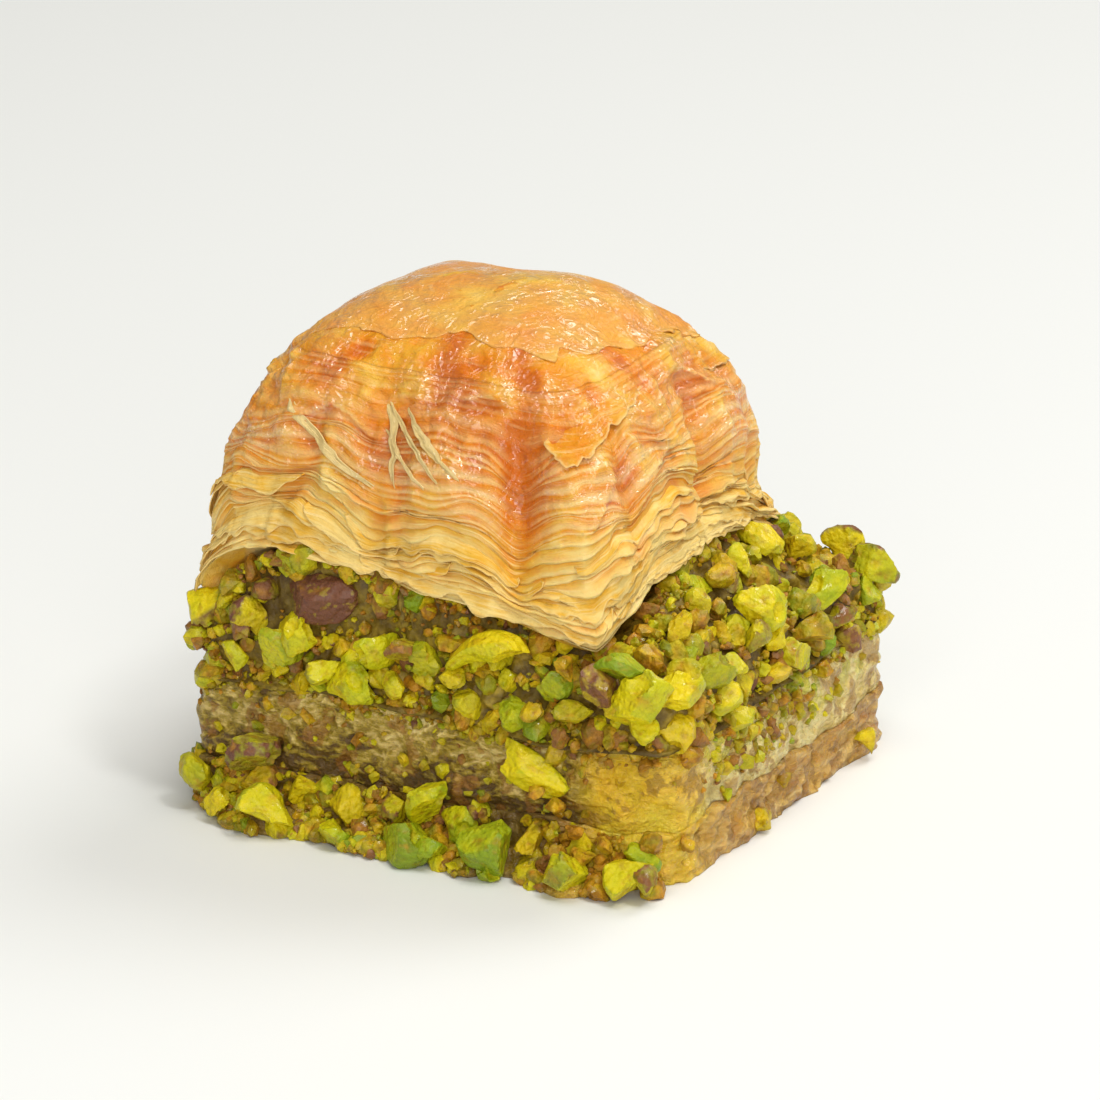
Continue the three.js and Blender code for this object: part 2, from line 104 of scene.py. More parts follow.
# Rows of nuts: first and last u, count, height (or share of the way in, on the shelf), how far they
# stand out, and the smallest and largest nut.
FOOT_ROWS = [
    (2.04, 2.98, 8, 2.3, 0.7, 3.0, 4.6), (2.98, 3.98, 9, 3.4, 0.6, 3.2, 4.6),
    (3.06, 3.99, 7, 1.6, 3.0, 2.8, 4.2), (1.1, 1.95, 4, 1.4, 0.5, 2.4, 3.4),
    (0.3, 0.95, 2, 1.3, 0.5, 2.2, 2.8),
]
BAND_ROWS = [
    (0.03, 1.0, 7, 13.6, -0.3, 3.0, 4.6), (1.03, 2.0, 8, 13.2, -0.2, 3.0, 4.8),
    (2.03, 3.0, 7, 13.4, 0.0, 3.0, 4.6), (3.03, 4.0, 8, 13.8, -0.2, 2.8, 4.2),
    (2.05, 3.95, 15, 17.0, -0.3, 3.0, 4.8),
]
SHELF_ROWS = [
    (0.02, 1.0, 7, 0.15, 0, 3.4, 5.2), (0.05, 0.98, 6, 0.7, 0, 3.2, 4.8),
    (1.02, 2.0, 7, 0.15, 0, 3.4, 5.2), (1.0, 1.95, 6, 0.7, 0, 3.2, 4.8),
]
# The largest nuts: place, length, width and depth, yaw, pitch, and then their looks: hue from 0, yellow,
# to 1, green, skin, the share that still wears its purple-brown skin, and bend, how far it arches.
LARGE_FOOT_NUTS = [
    (-12.4, -23.8, 2.4, 5.4, 4.2, 4.2, 0.1, -0.15, 0.25, 0.0, 0.0),
    (-14.9, -21.8, 6.1, 5.0, 4.2, 3.6, 0.3, 0.9, 0.5, 0.9, 0.2),
    (0.1, -23.4, 2.3, 5.6, 4.4, 4.2, -0.2, -0.5, 0.8, 0.1, -0.3),
    (1.2, -21.9, 4.9, 4.8, 3.0, 3.0, 0.2, 1.2, 0.35, 0.0, 0.4),
    (7.6, -22.8, 2.8, 5.8, 5.4, 5.0, 0.4, 0.3, 0.75, 0.0, 0.0),
    (14.4, -23.9, 2.0, 5.2, 3.8, 3.8, -0.2, 0.2, 0.4, 0.3, 0.2),
    (19.6, -22.4, 2.3, 4.8, 4.0, 3.8, 0.5, 0.8, 0.2, 0.0, 0.0),
]
LARGE_CREAM_NUTS = [
    (9.9, -21.3, 9.2, 7.8, 3.2, 2.8, 0.05, -0.5, 0.1, 0.0, -0.3),
    (-21.9, 6.0, 7.8, 5.0, 3.4, 3.0, 1.4, 0.4, 0.4, 0.0, 0.2),
]
LARGE_BAND_NUTS = [
    (-13.3, -20.8, 15.4, 4.6, 4.0, 3.4, 0.2, 0.5, 0.45, 0.1, 0.0),
    (-6.2, -21.0, 13.2, 4.6, 3.8, 3.2, -0.2, 0.1, 0.3, 0.0, 0.3),
    (-9.9, -20.2, 19.8, 7.8, 4.2, 3.8, 0.05, 0.1, 0.3, 1.7, -0.2),
    (6.9, -20.7, 17.6, 9.6, 3.2, 3.4, 0.0, 0.05, 0.0, 0.0, 1.9),
    (19.3, -20.2, 16.3, 6.6, 5.2, 4.4, 0.5, 0.2, 0.25, 0.0, 0.0),
    (17.3, -20.1, 18.3, 4.6, 2.8, 3.0, 0.3, 0.3, 0.75, 0.0, 0.5),
    (21.3, -17.6, 16.4, 4.6, 4.0, 3.6, 1.3, -0.3, 0.1, 0.0, 0.2),
    (20.6, 9.6, 16.3, 6.4, 4.4, 4.0, 1.2, 0.5, 0.3, 0.0, -0.3),
    (20.4, -1.6, 18.2, 4.8, 4.2, 3.8, 0.6, -0.5, 0.2, 0.0, 0.0),
    (16.2, -4.6, 19.8, 4.6, 3.4, 3.4, 1.5, 0.2, 0.6, 0.3, 0.3),
]
SEED = 412  # of the numbers that place the nuts
SHAPE_DRAWS = 12  # of those numbers that each nut takes for its shape in the solid parts

# ---------------------------------------------------------------- small tools
TURN = 2 * math.pi


def lerp(a, b, t):
    """The value a share t of the way from a to b."""
    return a + (b - a) * t


def smooth(t):
    """0 to 1 with soft ends, as t goes from 0 to 1."""
    t = np.clip(t, 0.0, 1.0)
    return t * t * (3 - 2 * t)


def wave(u, waves, phase):
    """A ripple with so many waves round the square."""
    return np.sin(TURN * waves * u / 4 + phase)


def round_place(u, height):
    """Places for noise that closes on itself round the crust."""
    girth = 4 * SIDE_LENGTH / TURN
    return np.column_stack([girth * np.cos(TURN * u / 4), girth * np.sin(TURN * u / 4), height])


def seeded(seed):
    """A source of numbers from 0 to 1 that gives the nuts their places in the solid parts too."""
    state = seed

    def draw():
        nonlocal state
        state = (state + 0x6D2B79F5) & 0xFFFFFFFF
        t = ((state ^ (state >> 15)) * (state | 1)) & 0xFFFFFFFF
        t ^= (t + (((t ^ (t >> 7)) * (t | 61)) & 0xFFFFFFFF)) & 0xFFFFFFFF
        return ((t ^ (t >> 14)) & 0xFFFFFFFF) / 4294967296

    return draw


def cloud(points, size, seed):
    """Smooth noise from -1 to 1 at each point, with bumps about size across."""
    place = points / size + np.array([17.31, 5.17, 9.73]) * (seed + 1)
    cell = np.floor(place).astype(np.int64)
    t = place - cell
    t = t * t * (3 - 2 * t)
    total = np.zeros(len(points))
    for corner in range(8):
        step = np.array([corner & 1, (corner >> 1) & 1, corner >> 2])
        x, y, z = (cell + step).T
        mixed = (x * 73856093) ^ (y * 19349663) ^ (z * 83492791)
        mixed = (mixed ^ (mixed >> 13)) * 1274126177 & 0x7FFFFFFF
        value = ((mixed ^ (mixed >> 16)) & 0xFFFF) / 32767.5 - 1
        total += value * np.prod(np.where(step, t, 1 - t), axis=1)
    return total


class RingNoise:
    """Rows of smooth noise round the square; each row keeps a share of the row below it."""

    def __init__(self, seed, rows, bumps, keep=0.0):
        draws = np.random.default_rng(seed).uniform(-1, 1, (rows, bumps))
        for row in range(1, rows):
            draws[row] = keep * draws[row - 1] + math.sqrt(1 - keep * keep) * draws[row]
        self.values = draws

    def between(self, place, u):
        """The noise at a place between two rows."""
        low = np.floor(place).astype(int)
        return lerp(self.at(low, u), self.at(low + 1, u), place - low)

    def at(self, row, u):
        """The noise of a row at u, which is 0 to 4 round the square."""
        count = self.values.shape[1]
        place = (u % 4) / 4 * count
        cell = np.floor(place).astype(int)
        t = smooth(place - cell)
        row = np.clip(row, 0, len(self.values) - 1)
        return lerp(self.values[row, cell % count], self.values[row, (cell + 1) % count], t)


def ring_noise(seed, bumps, u):
    """A single row of that noise."""
    return RingNoise(seed, 1, bumps).at(np.zeros(len(u), int), u)


# ---------------------------------------------------------------- outlines and heights
def on_ring(corners, u, square, share=1.0):
    """Places on a squared-off ring with its corners at four given places, one row of x and y each."""
    side = np.floor(u).astype(int) % 4
    along = 2 * (u - np.floor(u)) - 1
    one = np.ones_like(along)
    a = np.choose(side, [one, -along, -one, along])
    b = np.choose(side, [along, one, -along, -one])
    reach = share / (np.abs(a) ** square + np.abs(b) ** square) ** (1 / square)
    return from_square(corners, a * reach, b * reach)


def from_square(corners, p, q):
    """The place whose square coordinates, from -1 to 1, are p and q."""
    weights = np.array([(1 + p) * (1 - q), (1 + p) * (1 + q), (1 - p) * (1 + q), (1 - p) * (1 - q)]) / 4
    return np.einsum("kn,kd->nd", weights, corners[:, :2])


def moved_out(flat, middle, out):
    """Places moved straight away from a middle."""
    apart = flat - middle
    reach = np.maximum(np.hypot(apart[:, 0], apart[:, 1]), 4)
    return flat + apart * (out / reach)[:, None]


def with_height(flat, z):
    """Places with x and y as given, at height z."""
    return np.column_stack([flat, np.broadcast_to(z, len(flat))])


def on_slab(u, z, out=0.0):
    """Places on the cut sides, which waver a little; out is how far they stand out."""
    wobble = 0.16 * wave(u, 14, 0.7 * z) + 0.13 * wave(u, 23, 2.1 - 0.9 * z) + 0.1 * np.sin(1.9 * z)
    return with_height(moved_out(on_ring(SLAB_CORNERS, u, SLAB_SQUARE), np.zeros(2), wobble + out), z)


def heel_out(u, z):
    """How far the heaped crumbs stand out at the foot of the -Y side."""
    along_side = smooth((u - 3.02) / 0.1) * smooth((4 - u) / 0.1)
    return along_side * HEEL_OUT * (1 + 0.25 * wave(u, 19, 0.5)) * smooth(1 - z / HEEL_HIGH)


def edge_height(u):
    """Height of the crust's lower edge: the tips hang, and the edge arches up between them."""
    side = np.floor(u).astype(int) % 4
    s = u - np.floor(u)
    hanging = lerp(TIPS[side, 2], TIPS[(side + 1) % 4, 2], smooth(s))
    bow = np.sin(math.pi * s ** ARCH_SKEW[side]) ** 1.1
    return hanging + bow * (ARCH_RISE[side] + ARCH_RIPPLE[side] * np.sin(1.5 * TURN * s))


def soft_edge(u):
    """The same height, rounded off at the tips."""
    return np.mean([edge_height(u + step) for step in np.linspace(-0.2, 0.2, 9)], axis=0)


def mound_height(u, share):
    """Height of the pistachio under the crust, a share of the way out from its middle."""
    return lerp(MOUND, edge_height(u) - GAP - LIP, smooth(share))


def share_at(rise):
    """How far out the crust's side is at a share of its height."""
    return (1 - rise ** DOME) ** (1 / DOME)


def rise_at(share):
    """The other way round: the share of the height that far out."""
    return (1 - np.minimum(share, 1) ** DOME) ** (1 / DOME)


def apart_on_side(u, at):
    """How far apart two places are round the crust, in millimetres."""
    return ((u - at + 2) % 4 - 2) * SIDE_LENGTH


def skin_distance(u, rise, at, height):
    """How far places on the crust's side are from the one at a given u and height, in millimetres."""
    return np.hypot(apart_on_side(u, at), (rise - height) * CRUST_RISE)


def crease_at(u, rise):
    """Depth of the upright creases."""
    total = np.zeros_like(rise)
    for at, deep, wide, top, lean in CREASES:
        apart = (u - at - lean * rise + 2) % 4 - 2
        across = np.exp(-((apart * SIDE_LENGTH / wide) ** 2))
        total += deep * across * smooth((top - rise) / 0.3) * lerp(0.4, 1, smooth(rise / 0.25))
    return total


def crease_share(u, rise):
    """0 outside the creases, and 1 where one is deep."""
    return np.clip(crease_at(u, rise) / DEEP_CREASE, 0, 1)


def bundle_reach(k, u):
    """How far a bundle of leaves stands out, in steps."""
    slow = 0.7 * wave(u, 3 + k % 3, 2.4 * k)
    quick = 0.6 * wave(u, 8 + (3 * k) % 5, 4.1 * k)
    return np.where(k % 2, 0.5, -0.5) + slow + quick


def on_crust(u, rise, share, stand):
    """Places on the crust's skin; stand is how far out of it each place is."""
    low = np.clip(rise, 0, 1)
    square = lerp(SQUARE_AT_EDGE, SQUARE_AT_TOP, low ** 1.6)
    tip = TIP_FLARE * np.exp(-(((u - np.round(u)) / 0.09) ** 2))
    flare = (FLARE + tip) * (1 - np.clip(rise / 0.2, 0, 1)) ** 2
    bulge = BULGE * np.sin(math.pi * np.clip(rise / 0.85, 0, 1))
    out = stand + flare + bulge - crease_at(u, rise) * np.clip(2 * share - 0.4, 0, 1)
    ring = on_ring(TIPS, u, square, share)
    flat = moved_out(ring, CRUST_MIDDLE, out * np.clip(share * 1.5, 0, 1))
    swell = SWELL * (np.sin(0.42 * flat[:, 0] + 0.9) + np.cos(0.37 * flat[:, 1] - 0.16 * flat[:, 0]) - 1)
    foot = lerp(edge_height(u), soft_edge(u), smooth(low / 0.4))
    return with_height(flat, lerp(foot, HEIGHT + swell, rise))


def under_crust(u, flat):
    """How far out a place is, as a share of the crust's edge there."""
    edge = on_ring(TIPS, u, SQUARE_AT_EDGE) - CRUST_MIDDLE
    apart = flat - CRUST_MIDDLE
    return np.hypot(apart[:, 0], apart[:, 1]) / np.hypot(edge[:, 0], edge[:, 1])


def on_mound(u, inward):
    """Places on the pistachio's own surface, from the cut side (0) to the middle (1)."""
    rim = on_slab(u, SHELF)[:, :2]
    flat = lerp(rim, CRUST_MIDDLE, np.broadcast_to(inward, len(u))[:, None])
    share = under_crust(u, flat)
    rim_share = np.maximum(under_crust(u, rim), 1.02)
    outside = lerp(mound_height(u, np.ones_like(u)), SHELF, smooth((share - 1) / (rim_share - 1)))
    return with_height(flat, np.where(share < 1, mound_height(u, share), outside))


# ---------------------------------------------------------------- meshes
def start_modelling():
    """Leave nothing selected."""
    bpy.ops.object.select_all(action="DESELECT")


def read_points(piece):
    """The piece's points, one row of x, y and z each."""
    points = np.empty(3 * len(piece.data.vertices))
    piece.data.vertices.foreach_get("co", points)
    return points.reshape(-1, 3)


def write_points(piece, millimetres):
    """Put a piece's points where they belong in the frame."""
    piece.data.vertices.foreach_set("co", ((millimetres + STAND) * MM).ravel())
    piece.data.update()


def write_mask(piece, name, values):
    """Give each point a value that a material can read."""
    layer = piece.data.attributes.new(name, "FLOAT", "POINT")
    layer.data.foreach_set("value", np.ascontiguousarray(values, dtype=np.float32))


def add_round(name, columns, rings):
    """A closed shell, with u and the ring from 0, below, to rings, above, of each of its points."""
    start_modelling()
    bpy.ops.mesh.primitive_uv_sphere_add(segments=columns, ring_count=rings, radius=1)
    piece = bpy.context.object
    piece.name = name
    x, y, z = read_points(piece).T
    column = np.round(np.arctan2(y, x) / TURN * columns) % columns
    ring = rings - np.round(np.arccos(np.clip(z, -1, 1)) / math.pi * rings)
    column[(ring == 0) | (ring == rings)] = 0
    return piece, (4 * column / columns + 0.5) % 4, ring.astype(int)


def add_sheet(name, columns, rows):
    """A flat grid, with each point's place on it from 0 to 1 both ways."""
    start_modelling()
    bpy.ops.mesh.primitive_grid_add(x_subdivisions=columns, y_subdivisions=rows, size=1)
    piece = bpy.context.object
    piece.name = name
    a, b, _ = (read_points(piece) + 0.5).T
    return piece, a, b


def thicken(piece, thickness):
    """Make a sheet solid, with half its thickness on each side."""
    bpy.context.view_layer.objects.active = piece
    solidify = piece.modifiers.new("thickness", "SOLIDIFY")
    solidify.thickness = thickness * MM
    solidify.offset = 0
    bpy.ops.object.modifier_apply(modifier=solidify.name)


def join(name, pieces):
    """Make one piece of several."""
    start_modelling()
    for piece in pieces:
        piece.select_set(True)
    bpy.context.view_layer.objects.active = pieces[0]
    if len(pieces) > 1:
        bpy.ops.object.join()
    pieces[0].name = name
    return pieces[0]


def finish_piece(piece, material, node, crisp=None):
    """Shading that is smooth, or smooth up to a crisp angle, a finish, and a place on the frame."""
    start_modelling()
    piece.select_set(True)
    bpy.context.view_layer.objects.active = piece
    if crisp is None:
        bpy.ops.object.shade_smooth()
    else:
        bpy.ops.object.shade_smooth_by_angle(angle=crisp)
    piece.data.materials.clear()
    piece.data.materials.append(material)
    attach(piece, "root")
    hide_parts(node)


# ---------------------------------------------------------------- materials
class Nodes:
    """A short way to add and join the nodes of a material or a group."""

    def __init__(self, tree):
        self.tree = tree

    def fill(self, socket, value):
        """Give a socket its value, or join another node's output to it."""
        if isinstance(value, bpy.types.NodeSocket):
            self.tree.links.new(value, socket)
        else:
            socket.default_value = value

    def add(self, kind, inputs=None, **settings):
        """A node with its settings made first, as they decide which sockets it has."""
        node = self.tree.nodes.new(kind)
        for name, value in settings.items():
            setattr(node, name, value)
        for name, value in (inputs or {}).items():
            self.fill(node.inputs[name], value)
        return node

    def math(self, operation, a, b=0.0, clamp=False):
        return self.add("ShaderNodeMath", {0: a, 1: b}, operation=operation, use_clamp=clamp).outputs[0]

    def multiply_add(self, a, b, c, clamp=False):
        given = {0: a, 1: b, 2: c}
        return self.add("ShaderNodeMath", given, operation="MULTIPLY_ADD", use_clamp=clamp).outputs[0]

    def over(self, value, limit, gain):
        """How far a value is over a limit, times a gain, and 0 where it is under."""
        return self.math("MULTIPLY", self.math("SUBTRACT", value, limit, clamp=True), gain)

    def mix(self, factor, a, b):
        """A mix of two colours."""
        return self.add("ShaderNodeMix", {0: factor, 6: a, 7: b}, data_type="RGBA").outputs[2]

    def mask(self, name):
        """A value that the piece's points carry."""
        return self.add("ShaderNodeAttribute", attribute_name=name).outputs["Fac"]

    def place(self):
        """The place in the frame, in metres."""
        return self.add("ShaderNodeTexCoord").outputs["Object"]

    def noise(self, place, scale, detail, **others):
        """Smooth noise round a half."""
        given = {"Vector": place, "Scale": scale, "Detail": detail, **others}
        return self.add("ShaderNodeTexNoise", given).outputs["Fac"]

    def ramp(self, value, stops):
        """The colour of a value, between stops of a place and a colour."""
        node = self.add("ShaderNodeValToRGB", {"Fac": value})
        elements = node.color_ramp.elements
        while len(elements) < len(stops):
            elements.new(0.5)
        for element, (place, colour) in zip(elements, stops):
            element.position = place
            element.color = (*colour, 1)
        return node.outputs["Color"]

    def group(self, tree, inputs):
        return self.add("ShaderNodeGroup", inputs, node_tree=tree).outputs


def mottle_group():
    """Cloudy variation: Mask runs from 0 to 1, in patches of a given size, stretched along one axis."""
    if "Mottle" in bpy.data.node_groups:
        return bpy.data.node_groups["Mottle"]
    tree = bpy.data.node_groups.new("Mottle", "ShaderNodeTree")
    for name, default in (("Patches per metre", 500.0), ("Detail", 3.0), ("Contrast", 1.0), ("Swirl", 0.0)):
        socket = tree.interface.new_socket(name, in_out="INPUT", socket_type="NodeSocketFloat")
        socket.default_value = default
    socket = tree.interface.new_socket("Squeeze", in_out="INPUT", socket_type="NodeSocketVector")
    socket.default_value = (1, 1, 1)
    tree.interface.new_socket("Mask", in_out="OUTPUT", socket_type="NodeSocketFloat")
    nodes = Nodes(tree)
    given = nodes.add("NodeGroupInput").outputs
    both = {0: nodes.place(), 1: given["Squeeze"]}
    squeezed = nodes.add("ShaderNodeVectorMath", both, operation="MULTIPLY").outputs[0]
    noise = nodes.noise(squeezed, given["Patches per metre"], given["Detail"], Distortion=given["Swirl"])
    spread = nodes.multiply_add(nodes.math("SUBTRACT", noise, 0.5), given["Contrast"], 0.5, clamp=True)
    nodes.add("NodeGroupOutput", {"Mask": spread})
    return tree


def crumb_group():
    """Crumbly relief of a given grain, as a height for a Bump node."""
    if "Crumb relief" in bpy.data.node_groups:
        return bpy.data.node_groups["Crumb relief"]
    tree = bpy.data.node_groups.new("Crumb relief", "ShaderNodeTree")
    for name, default in (("Grains per metre", 1500.0), ("Lumpiness", 0.5)):
        socket = tree.interface.new_socket(name, in_out="INPUT", socket_type="NodeSocketFloat")
        socket.default_value = default
    tree.interface.new_socket("Height", in_out="OUTPUT", socket_type="NodeSocketFloat")
    nodes = Nodes(tree)
    given = nodes.add("NodeGroupInput").outputs
    place = nodes.place()
    grains = nodes.add("ShaderNodeTexVoronoi", {"Vector": place, "Scale": given["Grains per metre"]},
                       feature="SMOOTH_F1").outputs["Distance"]
    lumps = nodes.noise(place, given["Grains per metre"], 5.0)
    raised = nodes.math("MULTIPLY", lumps, given["Lumpiness"])
    nodes.add("NodeGroupOutput", {"Height": nodes.math("SUBTRACT", raised, grains)})
    return tree


def mottled(nodes, patches, detail, contrast, swirl=0.0, squeeze=1.0):
    """Cloudy patches, so many to the metre, squeezed in height."""
    return nodes.group(mottle_group(), {
        "Patches per metre": patches, "Detail": detail, "Contrast": contrast, "Swirl": swirl,
        "Squeeze": (1.0, 1.0, squeeze)})["Mask"]


def crumbled(nodes, grains, lumpiness):
    """The height of crumbs, so many to the metre."""
    return nodes.group(crumb_group(), {"Grains per metre": grains, "Lumpiness": lumpiness})["Height"]


def new_material(name):
    """An empty material, with its nodes and its shader."""
    material = bpy.data.materials.new(name)
    material.use_nodes = True
    material.node_tree.nodes.clear()
    nodes = Nodes(material.node_tree)
    shader = nodes.add("ShaderNodeBsdfPrincipled")
    nodes.add("ShaderNodeOutputMaterial", {"Surface": shader.outputs[0]})
    return material, nodes, shader


def feed(nodes, shader, **sockets):
    """Fill the shader's sockets, which are named here with _ for a space."""
    for name, value in sockets.items():
        nodes.fill(shader.inputs[name.replace("_", " ")], value)


def bump(nodes, height, strength, distance):
    """Fine relief from a height."""
    given = {"Height": height, "Strength": strength, "Distance": distance}
    return nodes.add("ShaderNodeBump", given).outputs[0]


def leaf_material(colours, name="Baked leaves", depth=0.3):
    """Baked leaves: pale where thin and low, golden to brown where baked, glazed where wet, with painted
    shade in their creases and grooves and painted highlight on their edges, folds and fine lines.

    depth is how much of the light spreads inside them.
    """
    material, nodes, shader = new_material(name)
    place = nodes.place()
    apart = nodes.add("ShaderNodeSeparateXYZ", {"Vector": place}).outputs
    along = nodes.add("ShaderNodeCombineXYZ", {
        0: nodes.math("MULTIPLY", apart[0], 320.0), 1: nodes.math("MULTIPLY", apart[1], 320.0),
        2: nodes.math("MULTIPLY", nodes.mask("layer"), 3.2)}).outputs[0]
    lines = nodes.noise(along, 1.0, 4.0, Roughness=0.6)
    patches = mottled(nodes, 280.0, 5.0, 2.4, swirl=0.8)
    varied = nodes.multiply_add(nodes.math("SUBTRACT", patches, 0.5), 0.36, nodes.mask("bake_and_shade"))
    wet = nodes.mask("wet")
    lined = nodes.math("SUBTRACT", 0.95, nodes.math("MULTIPLY", wet, 0.5))
    baked = nodes.multiply_add(nodes.math("SUBTRACT", lines, 0.5), lined, varied)
    body = nodes.ramp(baked, [
        (0.0, colours.leaf_pale), (0.3, colours.leaf_straw), (0.55, colours.leaf_golden),
        (0.8, colours.leaf_orange), (1.0, colours.leaf_brown)])
    # The cream hairlines are painted highlight, thin leaf edges catching the light; the edge mask is thin
    # leaf and partly painted highlight.
    stack = nodes.add("ShaderNodeVectorMath", {0: along, 1: (0.7, 0.7, 1.9)}, operation="MULTIPLY").outputs[0]
    hairlines = nodes.noise(stack, 1.0, 2.0, Roughness=0.5, Distortion=0.4)
    dry = nodes.math("SUBTRACT", 0.7, nodes.math("MULTIPLY", wet, 0.5))
    lit = nodes.math("MULTIPLY", nodes.over(hairlines, 0.54, 7.0), dry, clamp=True)
    thin = nodes.math("MAXIMUM", nodes.math("MULTIPLY", nodes.mask("edge"), 0.6), lit)
    colour = nodes.mix(thin, body, (*colours.leaf_cream, 1))
    roughness = nodes.multiply_add(wet, -0.18, 0.5)
    syrup = mottled(nodes, 300.0, 3.0, 5.0)
    glaze = nodes.math("MULTIPLY", wet, nodes.math("ADD", nodes.math("MULTIPLY", syrup, 0.75), 0.12))
    film = nodes.noise(place, 560.0, 2.0, Distortion=0.8)
    threads = nodes.math("MULTIPLY", nodes.math("ABSOLUTE", nodes.math("SUBTRACT", film, 0.5)), -3.0)
    fine = nodes.noise(place, 1300.0, 5.0, Roughness=0.65)
    folds = nodes.noise(place, 420.0, 3.0, Distortion=1.2)
    wrinkles = nodes.math("ABSOLUTE", nodes.math("SUBTRACT", folds, 0.5))
    pulled = nodes.math("MULTIPLY", nodes.math("MULTIPLY", wrinkles, wet), -2.2)
    stacked = nodes.math("ADD", nodes.math("MULTIPLY", lines, 1.2), nodes.math("MULTIPLY", hairlines, 0.7))
    height = nodes.math("ADD", stacked, nodes.math("ADD", fine, pulled))
    feed(nodes, shader, Base_Color=colour, Roughness=roughness, Specular_IOR_Level=0.15,
         Normal=bump(nodes, height, 0.7, 0.0003), Coat_Weight=glaze, Coat_Roughness=0.06, Coat_IOR=1.9,
         Coat_Normal=bump(nodes, threads, 0.6, 0.0009), Subsurface_Weight=depth, Subsurface_Scale=0.0004,
         Subsurface_Radius=(1.0, 0.7, 0.3))
    return material


def thin_leaf_material(colours):
    """The same leaves where they lie loose as thin sheets, with no depth for light to spread in."""
    return leaf_material(colours, "Thin leaves", 0.0)


def nut_material(colours):
    """Chopped pistachio: waxy yellow to green flesh, purple-brown skin and syrup-brown crumbs."""
    material, nodes, shader = new_material("Chopped pistachio")
    patches = mottled(nodes, 700.0, 4.0, 2.0)
    rind = nodes.multiply_add(nodes.mask("rind"), 0.3, nodes.mask("hue"))
    hue = nodes.multiply_add(nodes.math("SUBTRACT", patches, 0.5), 0.5, rind)
    flesh = nodes.ramp(hue, [
        (0.0, colours.nut_yellow), (0.4, colours.nut_lime), (0.75, colours.nut_green),
        (1.0, colours.nut_deep_green)])
    freckles = mottled(nodes, 1100.0, 5.0, 4.0)
    skinned = nodes.math("MULTIPLY", nodes.mask("skin"), nodes.math("ADD", freckles, 0.55), clamp=True)
    peeled = nodes.mix(skinned, flesh, (*colours.nut_skin, 1))
    # The soak mask is syrup, and in the pits of the relief it is partly painted shade.
    soaked = nodes.math("MULTIPLY", nodes.mask("soak"), nodes.math("ADD", patches, 0.4), clamp=True)
    syrup = nodes.ramp(freckles, [(0.2, colours.syrup_crumb), (0.9, colours.syrup_orange)])
    colour = nodes.mix(soaked, peeled, syrup)
    height = crumbled(nodes, 2100.0, 1.5)
    feed(nodes, shader, Base_Color=colour, Roughness=0.45, Specular_IOR_Level=0.22,
         Normal=bump(nodes, height, 0.7, 0.00035), Coat_Weight=0.22, Coat_Roughness=0.1,
         Subsurface_Weight=0.1, Subsurface_Scale=0.0005, Subsurface_Radius=(0.9, 0.9, 0.25))
    return material


def cream_material(colours):
    """Set cream with soaked leaves in it: olive-brown and moist, amber at the near corner."""
    material, nodes, shader = new_material("Set cream")
    patches = mottled(nodes, 360.0, 6.0, 2.8, swirl=0.3, squeeze=1.5)
    specks = mottled(nodes, 1200.0, 6.0, 4.0, swirl=0.2, squeeze=1.8)
    spots = mottled(nodes, 420.0, 4.0, 7.0)
    both = nodes.multiply_add(patches, 0.5, nodes.math("MULTIPLY", specks, 0.4))
    # Paler on the +X and +Y sides, partly the cream's own paler face and partly painted light on the sides
    # the lamps fall on.
    paler = nodes.multiply_add(nodes.mask("pale"), 0.4, both)
    level = nodes.math("SUBTRACT", paler, nodes.math("MULTIPLY", nodes.mask("shade"), 0.4))
    base = nodes.ramp(level, [
        (0.08, colours.cream_dark), (0.4, colours.cream_olive), (0.68, colours.cream_beige),
        (1.0, colours.cream_pale)])
    browned = nodes.over(spots, 0.76, 2.4)
    nutty = nodes.math("MULTIPLY", nodes.math("SUBTRACT", 0.3, spots, clamp=True), nodes.mask("nutty"))
    greened = nodes.mix(nutty, base, (*colours.nut_lime, 1))
    spotted = nodes.mix(browned, greened, (*colours.bottom_brown, 1))
    pools = mottled(nodes, 190.0, 3.0, 4.0)
    syrupy = nodes.mix(pools, (*colours.cream_amber, 1), (*colours.cream_honey, 1))
    warm = nodes.mix(browned, syrupy, (*colours.syrup_crumb, 1))
    colour = nodes.mix(nodes.mask("amber"), spotted, warm)
    height = nodes.math("ADD", nodes.math("ADD", specks, patches), crumbled(nodes, 1500.0, 1.3))
    film = nodes.noise(nodes.place(), 1400.0, 4.0)
    feed(nodes, shader, Base_Color=colour, Roughness=0.42, Specular_IOR_Level=0.4,
         Normal=bump(nodes, height, 0.8, 0.0005), Coat_Weight=0.35, Coat_Roughness=0.1,
         Coat_Normal=bump(nodes, film, 0.9, 0.0006), Subsurface_Weight=0.2, Subsurface_Scale=0.001,
         Subsurface_Radius=(1.0, 0.75, 0.35))
    return material


